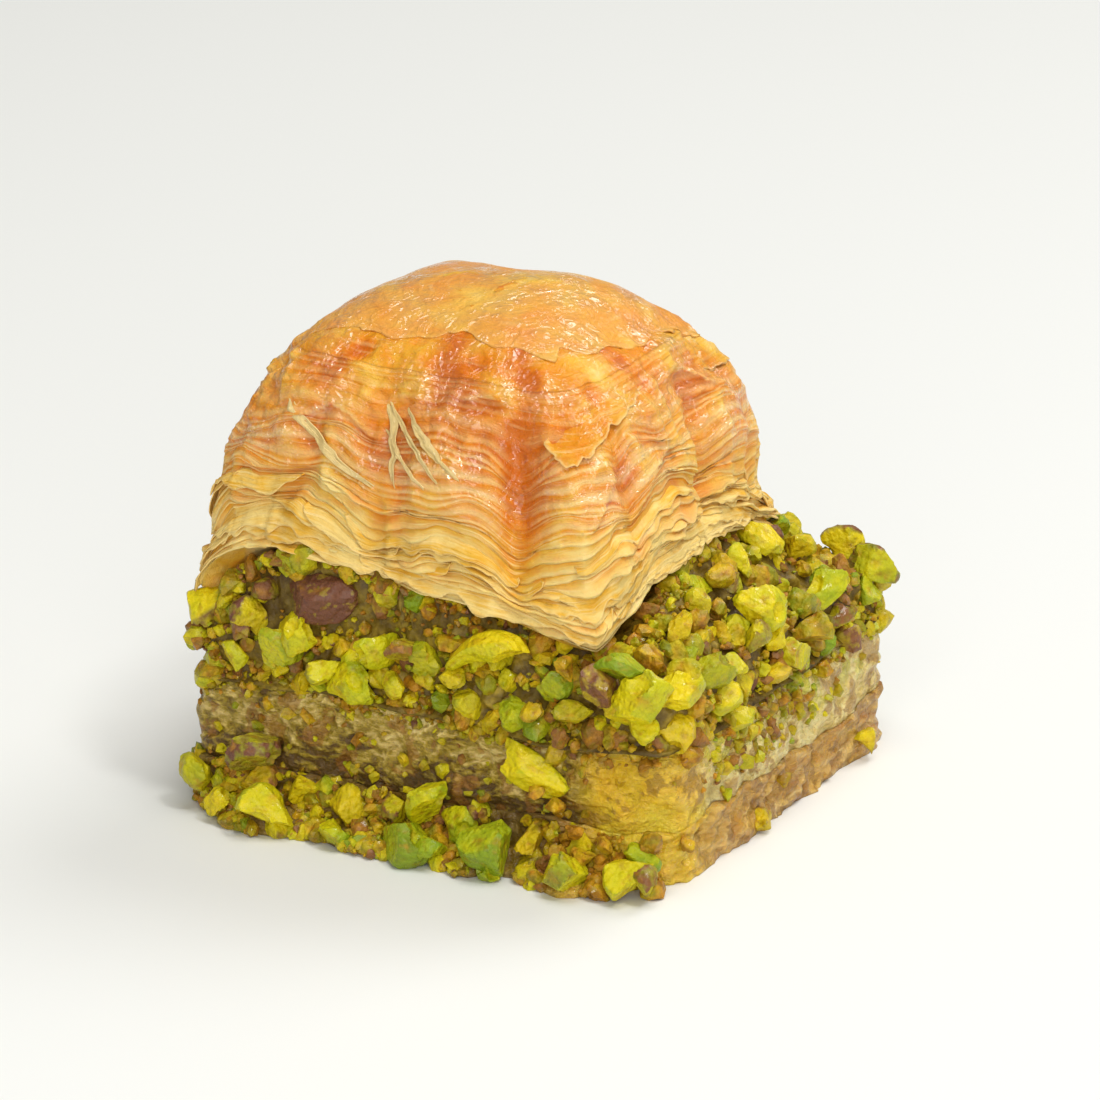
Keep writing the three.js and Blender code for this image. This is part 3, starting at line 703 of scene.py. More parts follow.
def bottom_material(colours):
    """Syrup-soaked bottom pastry: brown, in fine pressed leaves, amber at the near corner."""
    material, nodes, shader = new_material("Soaked pastry")
    leaves = mottled(nodes, 520.0, 6.0, 3.6, swirl=0.4, squeeze=2.2)
    patches = mottled(nodes, 300.0, 5.0, 2.6, swirl=1.0)
    spots = mottled(nodes, 600.0, 4.0, 7.0)
    lined = nodes.mix(leaves, (*colours.bottom_brown, 1), (*colours.bottom_tan, 1))
    golden = nodes.mix(nodes.math("MULTIPLY", patches, 0.7), lined, (*colours.bottom_gold, 1))
    # Painted shade: along the foot of the -Y side the pastry turns to the dark crumb colours, for the shade
    # among the heaped crumbs.
    crumbs_in_shade = nodes.mix(patches, (*colours.core_shade, 1), (*colours.core_olive, 1))
    pitted = nodes.mix(nodes.over(spots, 0.74, 2.4), golden, (*colours.syrup_crumb, 1))
    soaked = nodes.mix(nodes.mask("shade"), pitted, crumbs_in_shade)
    warm = nodes.mix(patches, (*colours.cream_amber, 1), (*colours.cream_honey, 1))
    colour = nodes.mix(nodes.mask("amber"), soaked, warm)
    height = nodes.math("ADD", nodes.math("MULTIPLY", leaves, 1.5), crumbled(nodes, 1300.0, 1.3))
    film = nodes.noise(nodes.place(), 1300.0, 4.0)
    feed(nodes, shader, Base_Color=colour, Roughness=0.4, Specular_IOR_Level=0.35,
         Normal=bump(nodes, height, 0.8, 0.0005), Coat_Weight=0.45, Coat_Roughness=0.1,
         Coat_Normal=bump(nodes, film, 0.9, 0.0006), Subsurface_Weight=0.25, Subsurface_Scale=0.001,
         Subsurface_Radius=(1.0, 0.6, 0.25))
    return material


def core_material(colours):
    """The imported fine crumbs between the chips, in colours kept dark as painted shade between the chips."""
    material, nodes, shader = new_material("Pistachio crumbs")
    patches = mottled(nodes, 350.0, 5.0, 2.6)
    specks = mottled(nodes, 1300.0, 4.0, 4.0)
    base = nodes.ramp(patches, [
        (0.0, colours.core_shade), (0.6, colours.core_olive), (1.0, colours.cream_olive)])
    colour = nodes.mix(nodes.math("MULTIPLY", specks, 0.6), base, (*colours.core_shade, 1))
    height = crumbled(nodes, 1100.0, 1.4)
    feed(nodes, shader, Base_Color=colour, Roughness=0.5, Specular_IOR_Level=0.35,
         Normal=bump(nodes, height, 0.8, 0.0004), Coat_Weight=0.12, Coat_Roughness=0.25,
         Subsurface_Weight=0.1, Subsurface_Scale=0.0008, Subsurface_Radius=(0.9, 0.8, 0.25))
    return material


FINISHES = {}


def shared(make):
    """The finish that this function makes from the colour settings, made once."""
    if make not in FINISHES:
        FINISHES[make] = make(bpy.context.scene.baklava_colours)
    return FINISHES[make]


# ---------------------------------------------------------------- the crust
def leaf_places():
    """Noise fields that the leaves share, so that neighbours run nearly alongside each other."""
    return {
        "drift": RingNoise(21, LEAVES, 15, 0.96),
        "ripple": RingNoise(22, LEAVES, 38, 0.88),
        "own": RingNoise(23, LEAVES, 84, 0.3),
        "stretch": RingNoise(24, LEAVES, 24, 0.1),
        "ragged": RingNoise(25, LEAVES, 64, 0.2),
        "torn": RingNoise(26, LEAVES, 170, 0.1),
        "fold": RingNoise(27, LEAVES, 46, 0.93),
        "tint": RingNoise(28, LEAVES, 18, 0.35),
    }


def leaf_heights():
    """The share of the crust's height where each leaf lies: bundles of thin ones between thicker ones."""
    gaps = 0.3 + 1.6 * np.random.default_rng(29).random(LEAVES) ** 1.5
    return np.concatenate([[0], np.cumsum(gaps)]) / gaps.sum() * CAP_FROM


def leaf_lift(noise, k, u, rise):
    """How far a leaf runs above its even place, in millimetres."""
    free = smooth(rise / 0.2) * (1 - smooth((rise - 0.6) / 0.2))
    place = round_place(u, CRUST_RISE * rise)
    lift = 1.1 * noise["drift"].between(k, u) + 0.35 * noise["ripple"].between(k, u)
    lift += 1.15 * cloud(place * [1, 1, 1.7], 6.0, 27) + 0.4 * cloud(place * [1, 1, 1.2], 2.7, 28)
    lift += 0.32 * paged(u, rise) * cloud(place * [1, 1, 0.5], 1.25, 30)
    along_arch = 0.4 * (soft_edge(u) - EDGE_HEIGHT) * (1 - smooth((rise - 0.3) / 0.5))
    dip = 1.1 * crease_at(u, rise)
    own = 0.12 * lerp(0.15, 1, paged(u, rise)) * noise["own"].between(k, u)
    return free * (lift + along_arch - dip) + own


# A finely pleated and a smooth patch of the skin: u, height and half the width in mm.
PLEATED, SMOOTHED = (3.63, 0.54, 4.2), (4.12, 0.72, 6.0)
# Places high on the side where the leaves still show as pages: u, height, half the width in mm, and
# how much.
PAGED = [
    (0.4, 0.45, 3.0, 0.3), (1.45, 0.6, 5.0, 0.6), (2.35, 0.55, 6.0, 0.7),
    (2.7, 0.66, 3.5, 0.5), (1.75, 0.5, 4.0, 0.7),
]


def paged(u, rise):
    """1 where the leaves show as pages, low on the side and in a few places above, and 0 in the skin."""
    shown = 1 - smooth((rise - 0.24 - 0.08 * cloud(round_place(u, 0 * u), 6.0, 34)) / 0.16)
    for *place, amount in PAGED:
        shown = np.maximum(shown, amount * near_place(u, rise, place))
    at_tip = np.exp(-(((u - np.round(u)) / 0.12) ** 2))
    return shown * (1 - 0.8 * at_tip * smooth((rise - 0.16) / 0.1))


def leaf_lines(noise, heights):
    """Height of each leaf at each column of the crust, as a share of its rise, with no two that cross."""
    u = 4 * np.arange(CRUST_COLUMNS) / CRUST_COLUMNS
    lines = []
    for k, even in enumerate(heights[:-1]):
        lift = leaf_lift(noise, np.full(len(u), k), u, np.full(len(u), even))
        line = even + smooth(even / 0.1) * lift / CRUST_RISE
        if lines:
            line = np.maximum(line, lines[-1] + 0.35 * (even - heights[k - 1]))
        lines.append(np.minimum(line, CAP_FROM - 0.003 * (LEAVES - k)))
    return np.array(lines + [np.full(len(u), CAP_FROM)])


def edge_loudness(noise, k, u, rise):
    """0 where a leaf is stuck to the one above, and up to 1 where its edge shows."""
    quiet = lerp(-0.3, 0.12, smooth((rise - 0.12) / 0.2))
    return np.clip(1.5 * noise["stretch"].at(k, u) - quiet, 0, 1) ** 1.1


def leaf_reach(noise, k, u, rise, reach):
    """How far a leaf's edge stands out: some stretches stand out well, and others lie flat."""
    loud = edge_loudness(noise, k, u, rise)
    fringe = 0.75 + 0.35 * noise["ragged"].at(k, u) + 0.3 * noise["torn"].at(k, u)
    lying = lerp(0.02, 1, paged(u, rise)) * lerp(1, 0.55, smooth((rise - 0.35) / 0.2))
    return reach * (0.02 + 1.3 * loud) * fringe * lying


# Veils of skin that end in a free lower edge: u, height, half the length in mm, and the slope and the
# arch of the edge.
VEILS = [
    (3.31, 0.6, 4.6, 0.08, 1.1), (3.16, 0.36, 3.6, 0.3, 0.5), (3.7, 0.73, 2.6, 0.1, 0.4),
    (0.3, 0.4, 5.2, 0.5, 0.7), (0.08, 0.44, 2.6, 0.6, 0.3), (0.66, 0.66, 4.4, -0.2, 0.6),
    (0.86, 0.42, 3.4, -0.1, 0.5), (1.3, 0.7, 5.6, 0.1, 1.0), (1.75, 0.6, 5.0, -0.1, 0.8),
    (2.2, 0.68, 5.6, 0.1, 1.2), (2.6, 0.5, 5.0, 0.15, 0.8), (2.86, 0.7, 4.0, -0.1, 0.6),
]


def near_place(u, rise, place):
    """1 at a place on the skin, and 0 beyond its half width."""
    at, height, half = place
    return np.exp(-((skin_distance(u, rise, at, height) / half) ** 4))


def veils(u, layer):
    """How near a place is above a veil's edge, and how near below it, both from 0 to 1."""
    lip, below = np.zeros(len(u)), np.zeros(len(u))
    round_it = round_place(u, 0 * u)
    wavy = 0.6 * cloud(round_it, 2.6, 41) + 0.2 * cloud(round_it, 0.9, 42)
    for at, height, half, slope, arch in VEILS:
        along = np.clip(apart_on_side(u, at), -2 * half, 2 * half)
        above = layer - (CRUST_RISE * height + slope * along + arch * (1 - (along / half) ** 2) + wavy)
        there = np.exp(-((along / half) ** 6))
        lip = np.maximum(lip, there * np.where(above > 0, np.exp(-above / 2.6), np.exp(above / 0.2)))
        below = np.maximum(below, there * np.where(above < 0, np.exp(above / 1.4), 0))
    return lip, below


def skin_folds(u, layer, rise):
    """Uneven folds of the skin, and fine ripples on some of them, that run roughly along the leaves."""
    place = round_place(u, 1.5 * layer)
    place += 1.3 * cloud(place, 5.0, 37)[:, None]
    broad = 0.5 - np.abs(cloud(place, 4.4, 35)) * 1.6
    small = 0.5 - np.abs(cloud(place * [1, 1, 1.2], 2.1, 36)) * 1.6
    ripples = 0.5 - np.abs(cloud(place * [1, 1, 1.6], 0.95, 39)) * 1.6
    folded = smooth((cloud(place, 7.0, 38) + 0.5) / 0.6)
    rippled = smooth((cloud(place * [1, 1, 0.8], 3.4, 40) - 0.02) / 0.3)
    rippled = np.maximum(rippled, 1.4 * near_place(u, rise, PLEATED))
    creased = folded * (0.7 * broad + 0.35 * small) + 0.36 * rippled * ripples
    creased *= 1 - near_place(u, rise, SMOOTHED)
    return creased * smooth((rise - 0.12) / 0.2) * (1 - smooth((rise - 0.62) / 0.17))


def crumple(points, fine_amount=1.0):
    """Puckers and blisters of the baked skin, moved out from the middle, and how raised each place is."""
    outward = points - np.array([*CRUST_MIDDLE, 24.0])
    outward /= np.linalg.norm(outward, axis=1)[:, None]
    free = smooth((points[:, 2] - 20.5) / 4)
    upper = smooth((points[:, 2] - 30) / 6)
    top = smooth((points[:, 2] - 38.5) / 2)
    broad = 0.55 * cloud(points, 6.5, 5) + 0.36 * (1 - 0.6 * top) * cloud(points, 3.1, 6)
    pleats = 0.5 - np.abs(cloud(points * [1, 1, 0.3] + 0.25 * broad[:, None], 2.1, 9)) * 1.7
    ridges = 0.5 - np.abs(cloud(points * [1, 1, 1.5], 2.5, 3)) * 1.6
    fine = 0.5 - np.abs(cloud(points * [1, 1, 1.4], 1.2, 4)) * 1.6
    blisters = 0.11 * cloud(points, 0.75, 10) + 0.06 * cloud(points, 0.4, 12)
    small = upper * (1 - 0.6 * top) * (0.3 * ridges + 0.2 * fine + blisters) + 0.34 * (1 - top) * pleats
    out = free * (1 - 0.75 * top) * broad + fine_amount * free * small
    raised = free * (0.45 * pleats + 0.35 * ridges * upper + 0.35 * broad)
    return points + outward * out[:, None], raised


# Darker spots of the glazed skin: u, height, half the width in millimetres, and how much darker.
DARK_SPOTS = [
    (3.58, 0.88, 2.0, 0.45), (3.88, 0.8, 1.8, 0.45), (3.26, 0.82, 1.6, 0.4), (3.6, 0.7, 2.6, 0.3),
    (0.06, 0.78, 4.2, 0.16), (3.97, 0.6, 3.0, 0.1),
    (0.35, 0.86, 1.8, 0.3), (0.72, 0.72, 2.2, 0.3), (1.2, 0.8, 2.6, 0.35), (1.8, 0.75, 2.2, 0.35),
    (2.3, 0.84, 2.4, 0.4), (2.75, 0.78, 2.0, 0.35),
]


def dark_spots(u, rise):
    """How much darker the glazed skin is in its spots."""
    total = np.zeros(len(u))
    for at, height, half, amount in DARK_SPOTS:
        total += amount * np.exp(-((skin_distance(u, rise, at, height) / half) ** 2))
    return total


def skin_bake_and_shade(u, points, raised):
    """How baked the skin is, pale low down, with painted highlight that pales its raised folds and painted
    shade that darkens its creases and hollows.
    """
    rise = (points[:, 2] - EDGE_HEIGHT) / CRUST_RISE
    even = 0.09 + 0.51 * smooth((rise - 0.1) / 0.45) + 0.4 * crease_share(u, np.clip(rise, 0, 1))
    clouds = 0.24 * cloud(points, 4.5, 8) + 0.14 * cloud(points, 1.8, 13)
    clouds *= smooth((rise - 0.1) / 0.35)
    return even + clouds + dark_spots(u, rise) - 0.42 * raised


def on_leaf(noise, heights, u, rise, stand):
    """Places on the skin that run alongside the leaves there."""
    place = np.interp(rise, heights, np.arange(len(heights)))
    lift = leaf_lift(noise, place, u, rise) / CRUST_RISE * smooth(rise / 0.1)
    risen = np.clip(rise + lift, -0.05, 0.97)
    return on_crust(u % 4, risen, share_at(np.clip(risen, 0, 1)), stand)


# The edge mask of the palest leaves, which is their thinness and partly painted highlight. It goes past 1
# because the finish takes only a part of it.
PALEST_EDGE = 1.5


def write_leaf_masks(piece, bake_and_shade, edge, wet, layer):
    """What the leaves' finish reads: how baked they are with their painted shade and highlight, how thin and
    wet they are, and how far up in the stack.
    """
    for name, values in (("bake_and_shade", bake_and_shade), ("edge", edge), ("wet", wet)):
        write_mask(piece, name, np.clip(np.broadcast_to(values, len(piece.data.vertices)), 0, PALEST_EDGE))
    points = read_points(piece)
    wander = 0.3 * cloud(points, 1.8, 78) + 0.14 * cloud(points, 0.9, 79)
    write_mask(piece, "layer", layer + wander)


def shape_crust(piece, u, ring, reach, edge_thickness):
    """The crust: rings under it, five rings for each leaf up its side, and the glazed top."""
    noise = leaf_places()
    heights = leaf_heights()
    first_leaf = UNDER_RINGS + 1
    first_cap = first_leaf + LEAVES * LEAF_RINGS
    points = np.zeros((len(u), 3))
    bake_and_shade, edge, wet, layer = np.zeros((4, len(u)))

    under = ring < first_leaf
    share = ring[under] / UNDER_RINGS
    flat = on_ring(TIPS, u[under], SQUARE_AT_EDGE, share * 0.985)
    points[under] = with_height(flat, mound_height(u[under], share) + GAP)
    bake_and_shade[under] = 0.35

    side = (ring >= first_leaf) & (ring < first_cap)
    k = (ring[side] - first_leaf) // LEAF_RINGS
    phase = (ring[side] - first_leaf) % LEAF_RINGS
    at = u[side]
    spacing = heights[k + 1] - heights[k]
    even = heights[k] + 0.02 * spacing
    lines = leaf_lines(noise, heights)
    column = np.round(at / 4 * CRUST_COLUMNS).astype(int) % CRUST_COLUMNS
    line, next_line = lines[k, column], lines[k + 1, column]
    stands = leaf_reach(noise, k, at, even, reach)
    droop = np.minimum(stands * lerp(0.8, 0.15, smooth(even / 0.7)) / CRUST_RISE, 0.8 * spacing)
    thickness = edge_thickness / CRUST_RISE
    shown = paged(at, even)
    loud = edge_loudness(noise, k, at, even)
    groove = 0.24 * loud * lerp(0.03, 1, shown)
    page = [
        line, line - droop, line - droop + thickness, lerp(line, next_line, 0.4), lerp(line, next_line, 0.82)]
    out_of = [-groove, stands, stands, 0.35 * stands, -0.4 * groove]
    rise = lerp(lerp(line, next_line, phase / LEAF_RINGS), np.choose(phase, page), smooth(5 * shown))
    bundle = (k * BUNDLES) // LEAVES
    fold = 0.22 * noise["fold"].at(k, at) * (1 - smooth(even / 0.5))
    step = 0.8 * BUNDLE_STEP * shown
    layer[side] = (even + phase / LEAF_RINGS * spacing) * CRUST_RISE
    folds = skin_folds(at, layer[side], even)
    lip, below = veils(at, layer[side])
    stand = np.choose(phase, out_of) + step * bundle_reach(bundle, at) + fold + 0.36 * folds + 0.4 * lip
    stand += CAP_LIP * smooth((even - 0.6) / 0.18)
    rise = np.clip(rise, -0.02, 0.97)
    points[side] = on_crust(at, rise, share_at(np.clip(rise, 0, 1)), stand)
    upper = smooth((even - 0.5) / 0.2)
    deep = crease_share(at, even)
    # Leaf edges painted pale, partly thin leaf and partly painted highlight, and less so in the creases,
    # where painted shade takes over.
    edge[side] = np.choose(phase, [0.0, 1.0, 1.0, 0.45, 0.15]) * lerp(1, 0.35, upper) * (1 - 0.85 * deep)
    edge[side] = np.maximum(edge[side], 0.8 * smooth((lip - 0.88) / 0.08))
    # Painted shadow below each veil's edge and painted highlight on its lip, painted shade in the grooves
    # between leaves and painted highlight on the folds.
    bake_and_shade[side] = 0.3 * below - 0.12 * lip
    bake_and_shade[side] += np.choose(phase, [0.32, 0.02, 0.0, 0.04, 0.18]) * lerp(0.1, 1, shown * lerp(0.3, 1, loud))
    bake_and_shade[side] += 0.16 * noise["tint"].at(k, at) * lerp(0.4, 1, shown) - 0.22 * folds
    wet[side] = smooth((even - 0.25) / 0.3)

    cap = ring >= first_cap
    cap_share = share_at(CAP_FROM) * (1 - (ring[cap] - first_cap) / CAP_RINGS)
    points[cap] = on_crust(u[cap], rise_at(cap_share), cap_share, CAP_LIP)
    wet[cap] = 1.0
    layer[cap] = CAP_FROM * CRUST_RISE + 6 * (1 - cap_share)

    points, raised = crumple(points)
    bake_and_shade[~under] += skin_bake_and_shade(u, points, raised)[~under]
    write_points(piece, points)
    write_leaf_masks(piece, bake_and_shade, edge, wet, layer)


# The torn lower edge of the top sheet: u and the share of the way out, all round.
TOP_SHEET_EDGE = [
    (0.0, 0.6), (0.3, 0.62), (0.65, 0.72), (0.95, 0.8), (1.3, 0.84), (1.7, 0.8), (2.1, 0.86), (2.5, 0.82),
    (2.85, 0.74), (3.1, 0.6), (3.3, 0.55), (3.6, 0.54), (3.85, 0.56), (4.0, 0.6),
]


def shape_top_sheet(piece, a, b):
    """A smooth glazed sheet over the top, with a ragged torn edge."""
    x, y = 2 * a - 1, 2 * b - 1
    reach = np.maximum(np.abs(x), np.abs(y))
    safe = np.maximum(reach, 1e-6)
    p, q = x / safe, y / safe
    u = np.where(p >= 1, (q + 1) / 2, 0)
    u = np.where((q >= 1) & (p < 1), 1 + (1 - p) / 2, u)
    u = np.where((p <= -1) & (q < 1), 2 + (1 - q) / 2, u)
    u = np.where((q <= -1) & (p > -1), 3 + (p + 1) / 2, u)
    u = np.clip(u, 0, 3.9999)
    u[reach < 1e-6] = 0
    places, shares = np.array(TOP_SHEET_EDGE).T
    edge = np.interp(u, places, shares) + 0.045 * ring_noise(31, 30, u) + 0.014 * ring_noise(32, 110, u)
    share = reach * edge
    rise = rise_at(share)
    near_edge = smooth((reach - 0.75) / 0.25)
    points = on_crust(u, rise, share, CAP_LIP + lerp(0.26, 0.08, near_edge))
    points, raised = crumple(points, fine_amount=lerp(0.3, 1.0, near_edge))
    write_points(piece, points)
    # Painted highlight on the raised crumples near the torn edge. The edge mask tints the whole sheet a
    # little towards cream as a painted sheen, and its torn rim more, as thin leaf and painted highlight.
    bake_and_shade = 0.55 + 0.16 * cloud(points, 6.0, 43) + 0.08 * cloud(points, 2.2, 44) - 0.15 * raised * near_edge
    write_leaf_masks(piece, bake_and_shade, 0.2 + 0.15 * smooth((reach - 0.95) / 0.04), 1.0, 4 * share)


def shape_flake(piece, a, b, noise, heights, first, last, top, bottom, curl, seed):
    """A loose stretch of leaf on the side: it lies on the skin at its top and stands off at its foot."""
    u = lerp(first, last, a)
    ragged = ring_noise(seed, 70, u) * 0.3 + ring_noise(seed + 1, 210, u) * 0.16
    ends = np.sin(math.pi * np.clip(a, 0.0, 1.0)) ** 0.35
    rise = lerp(top, bottom, b * np.clip(ends * (0.9 + ragged), 0.04, 1.4))
    fold = ring_noise(seed + 3, 60, u)
    stand = -0.3 + 0.62 * smooth(b / 0.6) + curl * ends * b ** 3 + 0.2 * fold * b
    points, _ = crumple(on_leaf(noise, heights, u, rise, stand))
    write_points(piece, points)
    height = (top + bottom) / 2
    bake_and_shade = 0.08 + 0.5 * height + 0.12 * cloud(points, 3.0, seed)
    wet = smooth((height - 0.3) / 0.4)
    # Its free lower edge is painted pale, partly thin leaf and partly painted highlight.
    write_leaf_masks(piece, bake_and_shade, smooth((b - 0.85) / 0.15), wet, CRUST_RISE * rise)


# The smooth flap on the near side: u and height of places along its upper and its lower edge.
FLAP_TOP = [(3.885, 0.67), (3.98, 0.735), (4.14, 0.79), (4.36, 0.83)]
FLAP_FOOT = [(3.935, 0.595), (4.06, 0.63), (4.24, 0.68), (4.5, 0.75)]
# Pale slivers that lie across the leaves: points of u and height, with half the width at the middle.
SLIVERS = [
    ([(3.17, 0.68), (3.21, 0.6), (3.28, 0.52), (3.36, 0.43), (3.49, 0.32)], 0.5),
    ([(3.395, 0.77), (3.43, 0.7), (3.46, 0.61), (3.49, 0.5), (3.51, 0.36)], 0.42),
    ([(3.41, 0.74), (3.47, 0.65), (3.53, 0.57), (3.58, 0.5), (3.63, 0.42)], 0.24),
    ([(3.49, 0.68), (3.55, 0.6), (3.6, 0.53), (3.67, 0.46)], 0.38),
    ([(3.44, 0.6), (3.49, 0.53), (3.54, 0.45), (3.61, 0.38)], 0.2),
    ([(3.24, 0.57), (3.31, 0.47), (3.4, 0.39)], 0.2),
]
# Broad thin sheets of the upper skin, of which only the lower edge shows: u and height of the middle,
# half the length and half the height in millimetres, and the lean of the length.
SKIN_SHEETS = [
    (0.78, 0.8, 7.0, 2.4, -0.1), (1.15, 0.66, 6.0, 3.2, 0.2), (1.5, 0.78, 7.5, 2.8, -0.15),
    (1.9, 0.66, 6.0, 3.6, 0.2), (2.2, 0.8, 6.5, 2.4, 0.1), (2.5, 0.64, 7.0, 3.0, -0.2),
    (2.82, 0.8, 6.0, 2.8, 0.15),
]


def shape_skin_sheet(piece, a, b, spec, seed):
    """A broad sheet of skin whose torn lower edge stands free."""
    at, height, half_along, half_up, lean = spec
    x, y = 2 * a - 1, 1 - 2 * b
    torn = 0.3 * ring_noise(seed, 22, a) + 0.1 * ring_noise(seed + 1, 90, a)
    narrow = 1 - 0.7 * x ** 4
    along, up = x * half_along, np.where(y < 0, y * narrow * (1 + torn), y) * half_up
    u = at + (along * math.cos(lean) - up * math.sin(lean)) / SIDE_LENGTH
    rise = np.clip(height + (along * math.sin(lean) + up * math.cos(lean)) / CRUST_RISE, 0.02, 0.96)
    hidden = np.maximum(smooth((y + 0.3) / 0.5), smooth((np.abs(x) - 0.8) / 0.2))
    stand = lerp(0.3, -0.5, hidden) + 0.1 * cloud(round_place(u, CRUST_RISE * rise), 2.0, seed)
    points, raised = crumple(on_crust(u % 4, rise, share_at(rise), stand))
    write_points(piece, points)
    # It takes the skin's painted shade and highlight, and its torn lower edge is painted pale, partly thin
    # leaf and partly painted highlight.
    bake_and_shade = skin_bake_and_shade(u, points, raised) - 0.06
    write_leaf_masks(piece, bake_and_shade, smooth((-y - 0.93) / 0.07), 0.9, CRUST_RISE * rise)


def shape_flap(piece, a, b):
    """A flat strip of skin whose lower edge and near end stand free."""
    knots = np.linspace(0, 1, len(FLAP_TOP))
    top = [np.interp(a, knots, column) for column in np.array(FLAP_TOP).T]
    foot = [np.interp(a, knots, column) for column in np.array(FLAP_FOOT).T]
    u = lerp(top[0], foot[0], b) + 0.006 * (1 - a) * ring_noise(51, 8, 4 * b)
    rise = lerp(top[1], foot[1] + 0.008 * ring_noise(52, 26, 4 * a), b)
    free = np.maximum(smooth((b - 0.1) / 0.5), 1 - smooth(a / 0.12))
    stand = lerp(-0.25, 0.5, free) - 0.7 * smooth((a - 0.6) / 0.4)
    points, raised = crumple(on_crust(u % 4, rise, share_at(rise), stand), fine_amount=0.5)
    write_points(piece, points)
    # It takes the skin's painted shade and highlight, and its free edges are painted pale, partly thin leaf
    # and partly painted highlight.
    bake_and_shade = 0.8 * skin_bake_and_shade(u, points, raised) - 0.03
    edge = np.maximum(smooth((b - 0.9) / 0.1), 1 - smooth(a / 0.04))
    write_leaf_masks(piece, bake_and_shade, edge, 0.6, CRUST_RISE * rise)


def shape_sliver(piece, a, b, line, half_width, seed):
    """A narrow flat strip of leaf that clings to the skin, with pointed ends."""
    knots = np.linspace(0, 1, len(line))
    us, rises = np.array(line).T
    across = 1 - 2 * b
    taper = np.sin(math.pi * np.clip(0.02 + 0.96 * a, 0, 1)) ** 0.8
    along = np.column_stack([14 * a, 0 * a, 0 * a])
    each_edge = along + np.outer(across > 0, [0, 5, 0])
    frayed = 1 + 0.35 * cloud(each_edge, 2.2, seed) + 0.25 * cloud(each_edge, 0.8, seed + 10)
    width = half_width * taper * frayed * across
    sway = 0.6 * cloud(along, 3.4, seed + 20) + 0.25 * cloud(along, 1.3, seed + 30)
    u = np.interp(a, knots, us) + (width + sway) / SIDE_LENGTH
    rise = np.interp(a, knots, rises) + (0.35 * width - 0.3 * sway) / CRUST_RISE
    finer = along * 2 + np.outer(across, [0, 2, 0])
    creases = 0.05 * np.cos(4 * across + 2 * a + seed) + 0.08 * cloud(finer, 1.3, seed + 50)
    tucked = 1 - np.sin(math.pi * a) ** 0.5
    stand = 0.22 + creases + 0.12 * cloud(along, 2.0, seed + 40) * across - 0.5 * tucked
    points, raised = crumple(on_crust(u % 4, rise, share_at(rise), stand), fine_amount=0.8)
    write_points(piece, points)
    # Painted highlight where its creases and crumples rise.
    bake_and_shade = 0.1 - 2 * creases + 0.2 * (1 - taper) - 0.1 * raised
    layer = 2.2 * across + 0.5 * cloud(along, 1.5, seed + 60)
    write_leaf_masks(piece, bake_and_shade, PALEST_EDGE, 0.35, layer)


# ---------------------------------------------------------------- the layers
def layer_profile(ring, low, high, under_rings, side_rings, top_rings):
    """For each ring: the share of the way out from the middle, and the height."""
    out = np.ones(len(ring))
    z = np.full(len(ring), low)
    under = ring <= under_rings
    out[under] = ring[under] / under_rings
    side = (ring > under_rings) & (ring <= under_rings + side_rings)
    z[side] = lerp(low, high, (ring[side] - under_rings) / side_rings)
    above = ring > under_rings + side_rings
    out[above] = 1 - (ring[above] - under_rings - side_rings) / top_rings
    z[above] = high
    return out, z


def near_amber(points):
    """1 at the near corner, where syrup has turned the cream and the pastry amber, and 0 away from it."""
    near_corner = np.hypot(points[:, 0] - SLAB_X / 2, points[:, 1] + SLAB_Y / 2)
    return 1 - smooth((near_corner + 1.8 * cloud(points, 3.5, 64) - 4.5) / 5)


def seam_drift(u, seed):
    """How far the seam between two layers wanders up and down, in millimetres."""
    return 0.5 * ring_noise(seed, 17, u) + 0.22 * ring_noise(seed + 1, 60, u)


def slab_layer(u, ring, rings, low, high, out_of):
    """Places of a slab-wide layer whose sides have their own relief, given by out_of(u, z)."""
    share, z = layer_profile(ring, low, high, *rings)
    rim = on_slab(u, z)
    flat = moved_out(rim[:, :2], np.zeros(2), out_of(u, z) * (share > 0.999))
    return with_height(flat * share[:, None], z)


def cream_relief(u, z):
    """Soft lumps and pits, drawn in along both seams and rounded off at the near corner."""
    rim = on_slab(u, z)
    wavy = rim * [1, 1, 1.5] + np.array([0, 0, 1.4]) * cloud(rim, 4.5, 68)[:, None]
    pits = np.maximum(cloud(rim, 1.5, 67) - 0.25, 0)
    lumps = 0.5 * cloud(wavy, 3.2, 61) + 0.3 * cloud(wavy, 1.4, 62) + 0.16 * cloud(rim, 0.7, 63)
    drawn_in = 0.6 * smooth((z - CREAM_TOP + 1.4) / 1.4) + 0.25 * smooth((BOTTOM_TOP + 1.2 - z) / 1.0)
    return -0.1 + lumps - 1.0 * pits - drawn_in - corner_wear(rim)


def corner_wear(rim):
    """The near corner is worn round."""
    reach = np.hypot(rim[:, 0] - SLAB_X / 2, rim[:, 1] + SLAB_Y / 2)
    return 2.0 * np.exp(-((reach / 3.0) ** 2))


def bottom_relief(u, z):
    """Rough pressed leaves with pits, worn round at the near corner."""
    rim = on_slab(u, z)
    squeezed = rim * [1, 1, 1.8] + np.array([0, 0, 1.0]) * cloud(rim, 4.5, 73)[:, None]
    pits = np.maximum(cloud(rim, 1.3, 75) - 0.25, 0)
    lumps = 0.4 * cloud(squeezed, 2.2, 71) + 0.3 * cloud(squeezed, 0.9, 72) + 0.14 * cloud(rim, 0.5, 74)
    return lumps - 0.8 * pits - 0.1 - 0.8 * corner_wear(rim)


